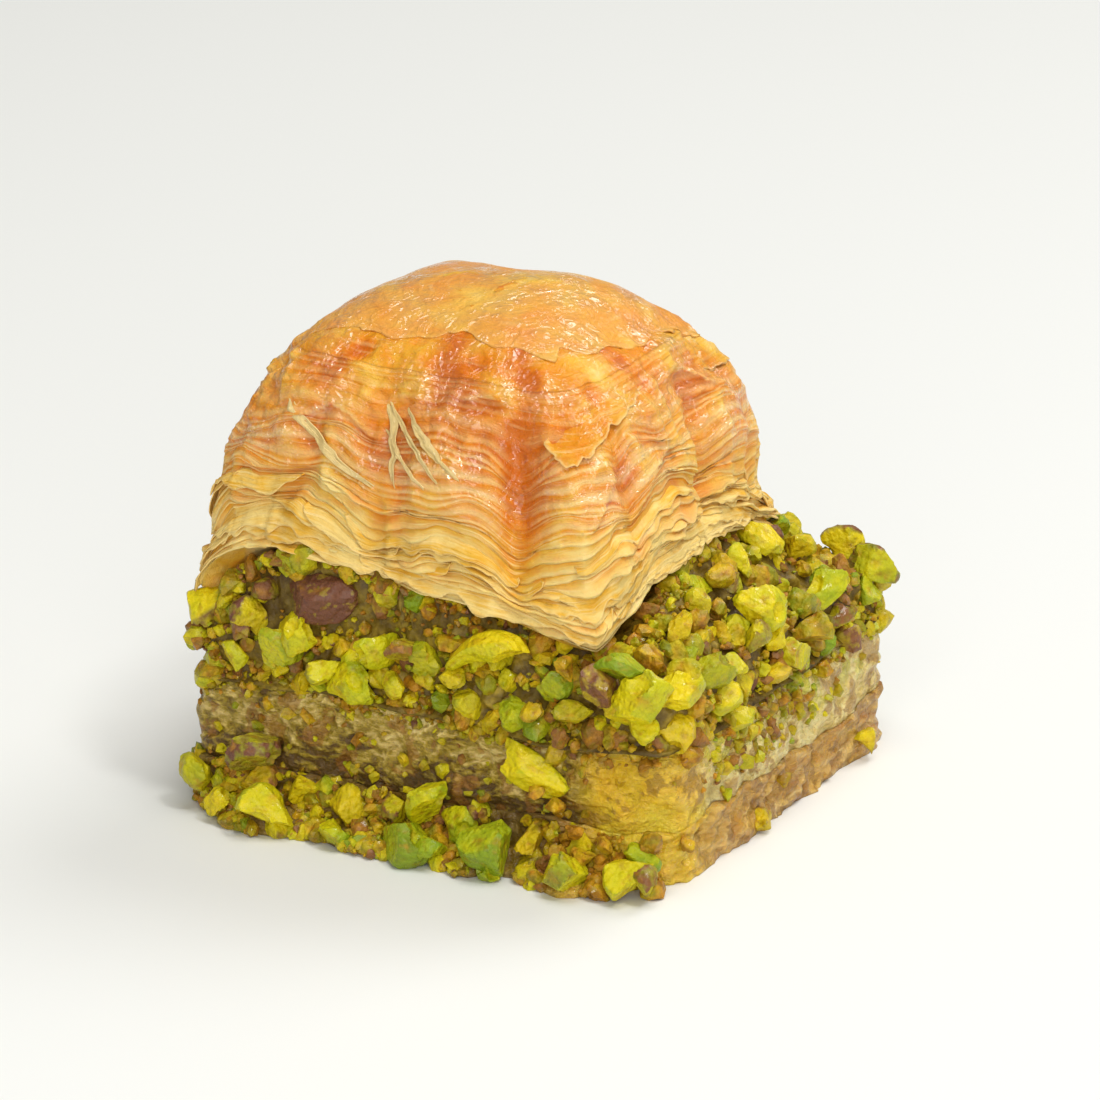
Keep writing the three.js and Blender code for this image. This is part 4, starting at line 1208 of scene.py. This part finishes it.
def core_relief(points):
    """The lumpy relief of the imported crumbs, as a move of each place."""
    outward = points - CORE_MIDDLE
    outward /= np.maximum(np.linalg.norm(outward, axis=1), 1)[:, None]
    lumps = 0.5 * cloud(points, 2.4, 81) + 0.4 * cloud(points, 1.1, 82) + 0.3 * cloud(points, 0.6, 83)
    return outward * (lumps - 0.7)[:, None]


def shape_core(piece, u, ring, under_rings, side_rings, top_rings):
    """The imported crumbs: flat below, with the cut sides and the mound above."""
    low = CREAM_TOP + GAP - SEAM
    points = np.zeros((len(u), 3))
    under = ring <= under_rings
    points[under] = on_slab(u[under], low)
    points[under, :2] *= (ring[under] / under_rings)[:, None]
    side = (ring > under_rings) & (ring <= under_rings + side_rings)
    points[side] = on_slab(u[side], lerp(low, SHELF, (ring[side] - under_rings) / side_rings))
    above = ring > under_rings + side_rings
    inward = ((ring[above] - under_rings - side_rings) / top_rings) ** 1.7
    points[above] = on_mound(u[above], inward)
    sheltered = smooth((ring - under_rings) / 2)
    points += core_relief(points) * sheltered[:, None]
    low_down = 1 - smooth((points[:, 2] - low) / (SHELF - low))
    points[:, 2] += seam_drift(u, 93) * low_down * np.where(under, ring / under_rings, 1)
    write_points(piece, points)


# ---------------------------------------------------------------- chopped nuts
NUT_VARIANTS = 10
LOWEST_CRUMB = 0.02  # no nut reaches lower than this
CRISP = math.radians(28)  # a sharper turn between two faces of a nut shows as an edge
# Smaller chips of a colour of their own: place, length, hue, skin and soak.
SMALL_CHIPS = [
    (-16.5, -21.0, 16.3, 3.0, 0.5, 1.0, 0.3), (13.1, -21.0, 17.8, 2.6, 0.1, 0.2, 0.8),
    (12.8, -21.3, 12.2, 2.2, 0.6, 1.0, 0.4), (15.4, -22.6, 3.0, 2.6, 0.0, 0.0, 0.7),
    (15.0, 10.5, 19.2, 3.4, 0.4, 1.0, 0.1), (14.0, 14.0, 19.2, 3.2, 0.7, 0.0, 0.0),
    (3.0, -21.2, 15.6, 2.6, 0.2, 0.1, 0.3), (-1.5, -21.2, 17.0, 3.0, 0.5, 0.9, 0.4),
    (10.2, -21.2, 14.0, 2.4, 0.2, 0.3, 0.6), (21.6, -8.0, 15.2, 3.0, 0.3, 0.0, 0.1),
    (12.6, -22.0, 6.6, 2.2, 0.1, 0.0, 0.9), (14.4, -22.3, 4.9, 2.0, 0.0, 0.0, 1.0),
    (17.6, -22.6, 4.4, 1.8, 0.0, 0.0, 0.9), (11.0, -22.0, 7.6, 1.8, 0.2, 0.4, 0.9),
    (13.4, -22.8, 3.2, 2.0, 0.1, 0.9, 0.8), (22.0, -17.0, 3.4, 1.8, 0.0, 0.6, 0.9),
    (22.2, -0.5, 3.3, 1.8, 0.1, 0.8, 0.8), (21.9, -9.5, 10.2, 1.8, 0.1, 0.1, 0.9),
    (22.0, 2.5, 9.4, 2.0, 0.0, 0.2, 1.0), (21.9, 7.0, 10.4, 2.2, 0.2, 0.0, 0.7),
]


def nut_variant(seed, subdivisions, cuts, bites, roughness):
    """A lump about one unit in radius with cut and broken faces: its corners, triangles, rind and pits."""
    draw = np.random.default_rng(seed)
    start_modelling()
    bpy.ops.mesh.primitive_ico_sphere_add(subdivisions=subdivisions, radius=1)
    lump = bpy.context.object
    ways = read_points(lump)
    reach = 1.06 + 0.16 * cloud(ways, 0.9, seed)
    rind = np.ones(len(ways))
    for i in range(cuts + bites):
        normal = draw.normal(size=3)
        normal /= np.linalg.norm(normal)
        facing = ways @ normal
        if i < cuts:
            limit = draw.uniform(0.42, 0.85) / np.maximum(facing, 0.01)
        else:
            away, hollow = draw.uniform(0.95, 1.15), draw.uniform(0.35, 0.6)
            inside = (facing * away) ** 2 - away ** 2 + hollow ** 2
            hit = facing * away - np.sqrt(np.maximum(inside, 0))
            limit = np.where((inside > 0) & (facing > 0), hit, 9)
        rind[limit < reach] = 0
        reach = np.minimum(reach, limit)
    points = ways * reach[:, None]
    points /= np.abs(points).max(axis=0)
    grain = cloud(points, 0.38, seed + 50) + 0.6 * cloud(points, 0.18, seed + 51)
    grain += 0.4 * cloud(points, 0.09, seed + 52)
    points *= 1 + roughness * grain[:, None]
    pits = np.clip(-1.4 * grain - 0.3, 0, 1)
    triangles = np.empty(3 * len(lump.data.polygons), dtype=int)
    lump.data.polygons.foreach_get("vertices", triangles)
    mesh = lump.data
    bpy.data.objects.remove(lump)
    bpy.data.meshes.remove(mesh)
    return points, triangles.reshape(-1, 3), rind, pits


def turned(yaw, pitch):
    """A turn about Z after a tip about Y."""
    c, s = math.cos(yaw), math.sin(yaw)
    cp, sp = math.cos(pitch), math.sin(pitch)
    return np.array([[c, -s, 0], [s, c, 0], [0, 0, 1]]) @ np.array([[cp, 0, -sp], [0, 1, 0], [sp, 0, cp]])


def join_nuts(name, variants, nuts):
    """One mesh of many nuts: each is place, half sizes, turn, variant, hue, skin, soak and bend."""
    corners, faces = [], []
    masks = {"hue": [], "rind": [], "skin": [], "soak": []}
    first = 0
    for nut in nuts:
        points, triangles, outer, pits = variants[nut["variant"] % len(variants)]
        bent = points + np.outer(nut["bend"] * (0.45 - points[:, 0] ** 2), [0, 0, 1])
        corner = (bent * nut["half"]) @ nut["turn"].T + nut["place"]
        corner[:, 2] = np.maximum(corner[:, 2], LOWEST_CRUMB)
        corners.append(corner)
        faces.append(triangles + first)
        masks["hue"].append(np.full(len(points), nut["hue"]))
        masks["rind"].append(outer)
        covered = np.clip(4 * nut["skin"] - 3.1, 0, 0.8)
        masks["skin"].append(np.maximum(outer, covered) * nut["skin"])
        # Browner in the pits of a nut's relief, partly syrup caught there and partly painted shade.
        masks["soak"].append(np.clip(nut["soak"] + 0.5 * pits, 0, 1))
        first += len(points)
    faces = np.concatenate(faces)
    mesh = bpy.data.meshes.new(name)
    mesh.vertices.add(first)
    mesh.loops.add(3 * len(faces))
    mesh.polygons.add(len(faces))
    mesh.loops.foreach_set("vertex_index", faces.ravel())
    mesh.polygons.foreach_set("loop_start", 3 * np.arange(len(faces)))
    piece = bpy.data.objects.new(name, mesh)
    bpy.context.scene.collection.objects.link(piece)
    write_points(piece, np.concatenate(corners))
    mesh.update(calc_edges=True)
    mesh.validate()
    for mask, values in masks.items():
        write_mask(piece, mask, np.concatenate(values))
    return piece


def large_nut(spec, looks):
    """One of the largest nuts, from its row of numbers."""
    x, y, z, length, width, depth, yaw, pitch, hue, skin, bend = spec
    return {
        "place": np.array([x, y, z]), "half": np.array([length, depth, width]) / 2 * 0.97,
        "turn": turned(yaw, pitch), "variant": int(looks.integers(NUT_VARIANTS)),
        "hue": hue, "skin": skin, "soak": 0.05, "bend": bend, "margin": 1.12,
    }


def small_chips():
    """The smaller chips that have a place and colour of their own."""
    draw = np.random.default_rng(6)
    return [{
        "place": np.array([x, y, z]), "half": length / 2 * draw.uniform([0.9, 0.7, 0.6], [1, 0.9, 0.85]),
        "turn": turned(draw.uniform(0, TURN), draw.uniform(-1, 1)),
        "variant": int(draw.integers(NUT_VARIANTS)),
        "hue": hue, "skin": skin, "soak": soak, "bend": 0.0,
    } for x, y, z, length, hue, skin, soak in SMALL_CHIPS]


def skip_shape(draw):
    """Pass over the numbers that give a nut its shape in the solid parts."""
    for _ in range(SHAPE_DRAWS):
        draw()


def row_of_nuts(row, place_at, draw, looks):
    """The nuts of one row, evenly spread along it and then moved, sized and turned at random."""
    first, last, count, _, _, smallest, largest = row
    nuts = []
    for i in range(count):
        u = lerp(first, last, (i + 0.5 + 0.5 * (draw() - 0.5)) / count)
        place = place_at(row, u, draw)
        length = lerp(smallest, largest, draw())
        width = length * lerp(0.7, 0.95, draw())
        depth = length * lerp(0.65, 0.9, draw())
        yaw = TURN * draw()
        pitch = lerp(-1, 1, draw())
        skip_shape(draw)
        nuts.append({
            "place": place, "half": np.array([length, depth, width]) / 2 * 0.95, "turn": turned(yaw, pitch),
            "variant": int(looks.integers(NUT_VARIANTS)), "hue": looks.beta(1.2, 2.1),
            "skin": float(looks.random() < 0.3) * looks.uniform(0.5, 1), "soak": looks.beta(1, 4),
            "bend": looks.uniform(-0.5, 0.5),
        })
    return nuts


def on_side_row(row, u, draw):
    """A place in a row on a cut side."""
    z = row[3] + 1.2 * (draw() - 0.5)
    out = row[4] + 0.8 * (draw() - 0.5)
    return on_slab(np.array([u]), z, out)[0]


def on_shelf_row(row, u, draw):
    """A place in a row on the slope up to the crust."""
    at = np.array([u])
    rim_share = under_crust(at, on_slab(at, SHELF)[:, :2])[0]
    inward = (rim_share - 1) / rim_share * (row[3] + 0.2 * (draw() - 0.5))
    place = on_mound(at, inward)[0]
    place[2] += 0.9 * draw()
    return place


def seeded_nuts():
    """All nuts that the solid parts have too, by the node that they belong to."""
    draw = seeded(SEED)
    looks = np.random.default_rng(5)

    def large(specs):
        for _ in specs:
            skip_shape(draw)
        return [large_nut(spec, looks) for spec in specs]

    foot = large(LARGE_FOOT_NUTS)
    for row in FOOT_ROWS:
        foot += row_of_nuts(row, on_side_row, draw, looks)
    band = large(LARGE_BAND_NUTS)
    for row in BAND_ROWS:
        band += row_of_nuts(row, on_side_row, draw, looks)
    for row in SHELF_ROWS:
        band += row_of_nuts(row, on_shelf_row, draw, looks)
    cream = [large_nut(spec, looks) for spec in LARGE_CREAM_NUTS]
    return foot, band, cream


def clear_of(places, nuts):
    """Which of the places lie outside these nuts, and not right in front of a large one."""
    clear = np.ones(len(places), bool)
    for nut in nuts:
        own = (places - nut["place"]) @ nut["turn"] / nut["half"]
        clear &= np.linalg.norm(own, axis=1) > nut.get("margin", 1.0)
    return clear


def scattered(count, smallest, largest, place_at, seed, soak, nuts):
    """Small bits at random places clear of larger nuts, each turned and coloured at random."""
    draw = np.random.default_rng(seed)
    places = place_at(draw, count)
    places = places[clear_of(places, nuts)]
    syrup = near_amber(places) * smooth((12.5 - places[:, 2]) / 2)
    bits = []
    for place, wet in zip(places, syrup):
        length = smallest * (largest / smallest) ** draw.random() ** 1.3
        bits.append({
            "place": place, "half": length / 2 * draw.uniform([0.8, 0.55, 0.5], [1, 0.95, 0.9]),
            "turn": turned(draw.uniform(0, TURN), draw.uniform(-1.4, 1.4)),
            "variant": int(draw.integers(99)), "hue": draw.beta(1.1, 2.0),
            "skin": float(draw.random() < 0.2), "soak": draw.beta(*soak) + 0.9 * wet,
            "bend": draw.uniform(-0.5, 0.5),
        })
    return bits


def on_band(draw, count):
    """Random places on the pistachio that shows: its cut sides and the slope up to the crust."""
    u = draw.uniform(0, 4, count)
    rim = on_slab(u, SHELF)
    edge = on_ring(TIPS, u, SQUARE_AT_EDGE)
    slope = np.hypot(np.hypot(*(rim[:, :2] - edge).T), edge_height(u) - SHELF)
    side = SHELF - CREAM_TOP
    low = draw.uniform(CREAM_TOP - 0.4 - 1.2 * np.abs(cloud(rim, 2.6, 94)), CREAM_TOP + 2, count)
    at_seam = draw.random(count) < 0.4
    even = draw.uniform(CREAM_TOP + 0.6, SHELF + 0.5, count)
    sides = on_slab(u, np.where(at_seam, low, even))
    rim_share = np.maximum(under_crust(u, rim[:, :2]), 1.02)
    shelf = on_mound(u, (rim_share - 1) / rim_share * draw.uniform(0, 1.15, count))
    places = np.where((draw.random(count) < side / (side + slope))[:, None], sides, shelf)
    outward = places - CORE_MIDDLE
    outward /= np.linalg.norm(outward, axis=1)[:, None]
    return places + core_relief(places) + outward * draw.uniform(-0.05, 0.45, count)[:, None]


def on_foot(draw, count):
    """Random places on the heap of crumbs at the foot, mostly along the -Y side."""
    u = np.where(draw.random(count) < 0.72, draw.uniform(3.02, 3.99, count), draw.uniform(1.1, 3.0, count))
    z = 4.2 * draw.random(count) ** 1.6 + 0.35
    places = on_slab(u, z, draw.uniform(-0.1, 0.4, count))
    places[:, 1] -= heel_out(u, z) * draw.uniform(0.8, 1.1, count)
    return places


def on_cream(draw, count):
    """Random crumbs that stick to the cream's cut sides: along its seams, and spilled down the +X side."""
    spilled = draw.random(count) < 0.55
    u = np.where(draw.random(count) < 0.6, draw.uniform(2.95, 3.85, count), draw.uniform(0.2, 3.0, count))
    u = np.where(spilled, draw.normal(0.42, 0.13, count) % 4, u)
    down = np.where(spilled, 0.75 * draw.random(count) ** 1.4, draw.beta(0.35, 0.5, count))
    z = lerp(CREAM_TOP + 0.3, BOTTOM_TOP + 0.4, down)
    return on_slab(u, z, cream_relief(u, z) + draw.uniform(-0.2, 0.15, count))


# ---------------------------------------------------------------- settings
def colour(name, description, default):
    """A colour setting; the colour is linear."""
    return FloatVectorProperty(name=name, description=description, default=default, subtype="COLOR",
                               min=0, max=1, size=3)


class BaklavaSizes(bpy.types.PropertyGroup):
    """Sizes that a user would change."""

    leaf_reach: FloatProperty(
        name="Leaf reach", description="How far a leaf's edge stands out of the crust's side",
        default=0.5 * MM, min=0, max=0.0015, unit="LENGTH", precision=5)
    leaf_edge: FloatProperty(
        name="Leaf edge", description="Thickness of a leaf's edge in the crust's side",
        default=0.16 * MM, min=0.00005, max=0.0005, unit="LENGTH", precision=5)
    sheet_thickness: FloatProperty(
        name="Sheet thickness", description="Thickness of the loose sheets and flakes",
        default=0.09 * MM, min=0.00005, max=0.0005, unit="LENGTH", precision=5)
    flakes: IntProperty(
        name="Loose flakes", description="Number of loose flakes round the crust's sides",
        default=40, min=0)
    bits: IntProperty(name="Nut bits", description="Number of middling bits of nut", default=1800, min=1)
    crumbs: IntProperty(name="Crumbs", description="Number of fine nut crumbs", default=9000, min=1)


class BaklavaColours(bpy.types.PropertyGroup):
    """Colours that a user would change."""

    # The leaves' colours run from cream to brown. The cream is also the painted highlight on thin edges and
    # fine lines, and the brown end is reached partly through painted shade in creases and grooves.
    leaf_cream: colour("Cream leaf", "The thinnest leaf edges and slivers", (0.95, 0.71, 0.30))
    leaf_pale: colour("Pale leaf", "Thin leaf edges and the lowest leaves", (0.89, 0.65, 0.21))
    leaf_straw: colour("Straw leaf", "Lightly baked leaves", (0.82, 0.45, 0.042))
    leaf_golden: colour("Golden leaf", "Baked leaves", (0.78, 0.315, 0.016))
    leaf_orange: colour("Orange leaf", "Well baked, soaked leaves", (0.76, 0.225, 0.004))
    leaf_brown: colour("Brown leaf", "The darkest creases and blisters", (0.62, 0.14, 0.004))
    nut_yellow: colour("Nut yellow", "The ripest chips", (0.80, 0.63, 0.004))
    nut_lime: colour("Nut lime", "Most cut faces", (0.62, 0.57, 0.004))
    nut_green: colour("Nut green", "Greener chips", (0.39, 0.45, 0.006))
    nut_deep_green: colour("Nut deep green", "The greenest chips", (0.23, 0.34, 0.008))
    nut_skin: colour("Nut skin", "Purple-brown skin left on a chip", (0.17, 0.062, 0.035))
    syrup_crumb: colour("Syrup crumb", "Crumbs browned by syrup", (0.30, 0.13, 0.006))
    syrup_orange: colour("Syrup orange", "Crumbs soaked bright by syrup", (0.58, 0.27, 0.012))
    # The core's colours are kept dark as painted shade between the chips, and the darker of them is that
    # shade at its deepest.
    core_olive: colour("Core olive", "The packed crumbs between the chips", (0.25, 0.165, 0.009))
    core_shade: colour("Core dark", "Hollows between the crumbs", (0.075, 0.036, 0.003))
    cream_olive: colour("Cream olive", "The cream's fibres in the light", (0.48, 0.33, 0.028))
    cream_dark: colour("Cream dark", "The cream's fibres in the shade", (0.13, 0.065, 0.005))
    # Cream beige and pale show mostly on the +X and +Y sides, partly the cream's own colour and partly
    # painted light.
    cream_beige: colour("Cream beige", "The cream on the open sides", (0.87, 0.64, 0.20))
    cream_pale: colour("Cream pale", "The palest cream", (0.97, 0.80, 0.34))
    cream_amber: colour("Cream amber", "Clear cream soaked in syrup", (0.90, 0.52, 0.004))
    cream_honey: colour("Cream honey", "The palest of the soaked cream", (0.95, 0.74, 0.035))
    bottom_brown: colour("Bottom brown", "Pressed leaves in the shade", (0.38, 0.15, 0.016))
    bottom_tan: colour("Bottom tan", "Pressed leaves in the light", (0.78, 0.52, 0.17))
    bottom_gold: colour("Bottom gold", "Syrup in the bottom pastry", (0.70, 0.38, 0.025))
    floor: colour("Floor", "The plain floor", (0.86, 0.865, 0.83))


# ---------------------------------------------------------------- operators
class BAKLAVA_OT_bottom(bpy.types.Operator):
    """Add the soaked bottom pastry"""

    bl_idname = "baklava.bottom"
    bl_label = "Bottom pastry"

    def execute(self, context):
        rings = (4, 36, 6)
        piece, u, ring = add_round("bottom_pastry_leaves", 440, sum(rings))
        points = slab_layer(u, ring, rings, 0.0, BOTTOM_TOP + SEAM, bottom_relief)
        share, z = layer_profile(ring, 0.0, BOTTOM_TOP, *rings)
        points[:, 2] += seam_drift(u, 91) * smooth(z / BOTTOM_TOP) * share
        points[:, 1] -= heel_out(u, z) * share
        write_points(piece, points)
        write_mask(piece, "amber", 0.75 * near_amber(points))
        # Painted shade along the foot of the -Y side, among the heaped crumbs.
        write_mask(piece, "shade", 0.8 * smooth((-18.5 - points[:, 1]) / 2) * smooth((14 - points[:, 0]) / 5))
        finish_piece(piece, shared(bottom_material), "bottom_pastry")
        return {"FINISHED"}


class BAKLAVA_OT_cream(bpy.types.Operator):
    """Add the set cream"""

    bl_idname = "baklava.cream"
    bl_label = "Cream"

    def execute(self, context):
        rings = (5, 50, 5)
        piece, u, ring = add_round("set_cream_layer", 520, sum(rings))
        low, high = BOTTOM_TOP + GAP - SEAM, CREAM_TOP + SEAM
        points = slab_layer(u, ring, rings, low, high, cream_relief)
        share, z = layer_profile(ring, low, high, *rings)
        upward = (z - low) / (high - low)
        points[:, 2] += share * lerp(seam_drift(u, 91), seam_drift(u, 93), upward)
        write_points(piece, points)
        amber = near_amber(points)
        # Paler on the +X and +Y sides, partly the cream's own paler face and partly painted light on the
        # sides the lamps fall on.
        pale = smooth((points[:, 0] + 2 * cloud(points, 5.0, 65) - 16) / 6)
        pale = np.maximum(pale, 0.8 * smooth((points[:, 1] - 12) / 8))
        shade = smooth((8.6 - points[:, 2] + 1.3 * cloud(points, 3.5, 92)) / 4) * (1 - pale)
        write_mask(piece, "shade", shade)
        write_mask(piece, "nutty", 2.4 * smooth((points[:, 0] - 12) / 8) * smooth((points[:, 2] - 5.5) / 4))
        write_mask(piece, "amber", 0.9 * amber)
        write_mask(piece, "pale", np.clip(pale + 0.15 * cloud(points, 3.0, 66), 0, 1))
        finish_piece(piece, shared(cream_material), "cream_layer")
        return {"FINISHED"}


class BAKLAVA_OT_core(bpy.types.Operator):
    """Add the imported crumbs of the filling"""

    bl_idname = "baklava.core"
    bl_label = "Filling core"

    def execute(self, context):
        rings = (4, 24, 44)
        piece, u, ring = add_round("pistachio_core", 640, sum(rings))
        shape_core(piece, u, ring, *rings)
        finish_piece(piece, shared(core_material), "pistachio_filling")
        return {"FINISHED"}


class BAKLAVA_OT_nuts(bpy.types.Operator):
    """Add the chopped nuts: large chips, middling bits and crumbs"""

    bl_idname = "baklava.nuts"
    bl_label = "Chopped nuts"

    def execute(self, context):
        finish = shared(nut_material)
        sizes = context.scene.baklava_sizes
        large = [nut_variant(100 + i, 5, 6, 3, 0.05) for i in range(NUT_VARIANTS)]
        chips = [nut_variant(100 + i, 4, 6, 3, 0.06) for i in range(NUT_VARIANTS)]
        bits = [nut_variant(200 + i, 2, 4, 1, 0.1) for i in range(NUT_VARIANTS)]
        grains = [nut_variant(300 + i, 1, 1, 0, 0.2) for i in range(NUT_VARIANTS)]
        foot, band, cream = seeded_nuts()
        foot_count, band_count = len(LARGE_FOOT_NUTS), len(LARGE_BAND_NUTS)
        band += small_chips()
        band_bits = int(0.64 * sizes.bits)
        foot_bits = sizes.bits - band_bits
        band_crumbs = int(0.58 * sizes.crumbs)
        cream_crumbs = int(0.05 * sizes.crumbs)
        foot_crumbs = sizes.crumbs - band_crumbs - cream_crumbs
        bottom, filling, layer = "bottom_pastry", "pistachio_filling", "cream_layer"
        heaps = [
            ("foot_nuts", large, foot[:foot_count], bottom),
            ("foot_chips", chips, foot[foot_count:], bottom),
            ("filling_nuts", large, band[:band_count], filling),
            ("filling_chips", chips, band[band_count:], filling),
            ("cream_nuts", large, cream, layer),
        ]
        strewn = (
            ("filling_bits", bits, band_bits, 1.2, 3.6, on_band, 11, (1.5, 1.5), band, filling),
            ("foot_bits", bits, foot_bits, 1.1, 2.8, on_foot, 12, (1.5, 1.8), foot, bottom),
            ("filling_crumbs", grains, band_crumbs, 0.4, 1.3, on_band, 13, (2.0, 1.3), band, filling),
            ("foot_crumbs", grains, foot_crumbs, 0.4, 1.3, on_foot, 14, (2.0, 1.4), foot, bottom),
            ("cream_crumbs", grains, cream_crumbs, 0.5, 1.7, on_cream, 15, (1.6, 1.4), cream, layer),
        )
        heaps += [(name, variants, scattered(*how), node) for name, variants, *how, node in strewn]
        for name, variants, nuts, node in heaps:
            finish_piece(join_nuts(name, variants, nuts), finish, node, CRISP)
        return {"FINISHED"}


class BAKLAVA_OT_crust(bpy.types.Operator):
    """Add the puffed crust of thin leaves"""

    bl_idname = "baklava.crust"
    bl_label = "Crust"

    def execute(self, context):
        sizes = context.scene.baklava_sizes
        rings = UNDER_RINGS + 1 + LEAVES * LEAF_RINGS + CAP_RINGS
        piece, u, ring = add_round("crust_leaves", CRUST_COLUMNS, rings)
        shape_crust(piece, u, ring, sizes.leaf_reach / MM, sizes.leaf_edge / MM)
        finish_piece(piece, shared(leaf_material), "pastry_crust")
        return {"FINISHED"}


class BAKLAVA_OT_sheets(bpy.types.Operator):
    """Add the torn top sheet, the flap, the loose flakes, the sheets of skin and the pale slivers"""

    bl_idname = "baklava.sheets"
    bl_label = "Sheets and flakes"

    def execute(self, context):
        sizes = context.scene.baklava_sizes
        finish = shared(thin_leaf_material)

        def sheet(columns, rows, shape, *details):
            piece, a, b = add_sheet("sheet", columns, rows)
            shape(piece, a, b, *details)
            thicken(piece, sizes.sheet_thickness / MM)
            return piece

        def add(name, sheets):
            finish_piece(join(name, sheets), finish, "pastry_crust")

        add("top_sheet", [sheet(150, 150, shape_top_sheet)])
        add("near_flap", [sheet(110, 40, shape_flap)])

        draw = np.random.default_rng(77)
        noise, heights = leaf_places(), leaf_heights()
        flakes = []
        for i in range(sizes.flakes):
            first = 4 * (i + draw.random()) / sizes.flakes
            wide = draw.uniform(0.2, 0.7)
            bottom = draw.uniform(-0.035, 0.26) if i % 2 else draw.uniform(-0.035, 0.12)
            high = draw.uniform(0.05, 0.11)
            curl = draw.uniform(0.05, 0.5)
            flakes.append(sheet(int(200 * wide) + 10, 8, shape_flake, noise, heights, first, first + wide,
                                bottom + high, bottom, curl, 400 + 7 * i))
        add("loose_flakes", flakes)

        add("skin_sheets", [
            sheet(60, 40, shape_skin_sheet, spec, 600 + 7 * i) for i, spec in enumerate(SKIN_SHEETS)])
        add("pale_slivers", [
            sheet(70, 14, shape_sliver, line, half_width, i + 1)
            for i, (line, half_width) in enumerate(SLIVERS)])
        return {"FINISHED"}


# The camera's place, seen from the piece: turned from the -Y side towards +X, and up.
VIEW_TURN = math.radians(28.2)
VIEW_UP = math.radians(19.1)
VIEW_DISTANCE = 0.553
VIEW_AIM = Vector((0.0013, 0.0008, 0.0195))
LENS = 222


class BAKLAVA_OT_stage(bpy.types.Operator):
    """Add the floor, the lights and the camera"""

    bl_idname = "baklava.stage"
    bl_label = "Stage"

    def execute(self, context):
        start_modelling()
        bpy.ops.mesh.primitive_plane_add(size=6)
        floor = context.object
        floor.name = "floor"
        material, nodes, shader = new_material("Pale floor")
        feed(nodes, shader, Base_Color=(*context.scene.baklava_colours.floor, 1), Roughness=0.6)
        floor.data.materials.append(material)

        right = Vector((math.cos(VIEW_TURN), math.sin(VIEW_TURN), 0))
        ahead = Vector((-math.sin(VIEW_TURN), math.cos(VIEW_TURN), 0))
        up = Vector((0, 0, 1))
        add_light("key", VIEW_AIM + 0.75 * (0.55 * right + 0.45 * ahead + 0.8 * up), 0.4, 2.6)
        add_light("overhead", VIEW_AIM + 0.8 * (0.1 * right - 0.15 * ahead + 1.0 * up), 0.45, 2.5)
        add_light("fill", VIEW_AIM + 0.9 * (-0.9 * ahead + 0.4 * up), 0.6, 3.4)
        add_light("sparkle", VIEW_AIM + 0.8 * (0.35 * right - 0.45 * ahead + 0.85 * up), 0.13, 1.5)

        away = math.cos(VIEW_UP) * -ahead + math.sin(VIEW_UP) * up
        bpy.ops.object.camera_add(location=VIEW_AIM + VIEW_DISTANCE * away)
        camera = context.object
        camera.rotation_euler = (-away).to_track_quat("-Z", "Y").to_euler()
        camera.data.lens = LENS
        camera.data.clip_start = 0.01
        camera.data.clip_end = 20
        context.scene.camera = camera

        world = bpy.data.worlds.new("Pale studio")
        world.use_nodes = True
        background = world.node_tree.nodes["Background"]
        background.inputs["Color"].default_value = (1.0, 0.98, 0.94, 1)
        background.inputs["Strength"].default_value = 0.24
        context.scene.world = world
        context.scene.view_settings.view_transform = "Standard"
        return {"FINISHED"}


def add_light(name, place, size, power):
    """A square light that points at the piece."""
    bpy.ops.object.light_add(type="AREA", location=place)
    light = bpy.context.object
    light.name = name
    light.data.energy = power
    light.data.size = size
    light.rotation_euler = (VIEW_AIM - place).to_track_quat("-Z", "Y").to_euler()


PIECE_OPERATORS = (
    BAKLAVA_OT_bottom,
    BAKLAVA_OT_cream,
    BAKLAVA_OT_core,
    BAKLAVA_OT_nuts,
    BAKLAVA_OT_crust,
    BAKLAVA_OT_sheets,
    BAKLAVA_OT_stage,
)


class BAKLAVA_PT_panel(bpy.types.Panel):
    """The sidebar panel that lists the pieces, sizes and colours"""

    bl_idname = "BAKLAVA_PT_panel"
    bl_label = "Baklava"
    bl_space_type = "VIEW_3D"
    bl_region_type = "UI"
    bl_category = "Baklava"

    def draw(self, context):
        for operator in PIECE_OPERATORS:
            self.layout.operator(operator.bl_idname)
        for group in (context.scene.baklava_sizes, context.scene.baklava_colours):
            for name in group.bl_rna.properties.keys():
                if name not in {"rna_type", "name"}:
                    self.layout.prop(group, name)


CLASSES = (BaklavaSizes, BaklavaColours, *PIECE_OPERATORS, BAKLAVA_PT_panel)


def register():
    for each in CLASSES:
        bpy.utils.register_class(each)
    bpy.types.Scene.baklava_sizes = PointerProperty(type=BaklavaSizes)
    bpy.types.Scene.baklava_colours = PointerProperty(type=BaklavaColours)


def unregister():
    del bpy.types.Scene.baklava_colours
    del bpy.types.Scene.baklava_sizes
    for each in reversed(CLASSES):
        bpy.utils.unregister_class(each)


def main():
    register()
    bpy.ops.baklava.stage()
    bpy.ops.baklava.bottom()
    bpy.ops.baklava.cream()
    bpy.ops.baklava.core()
    bpy.ops.baklava.nuts()
    bpy.ops.baklava.crust()
    bpy.ops.baklava.sheets()


if __name__ == "__main__":
    main()
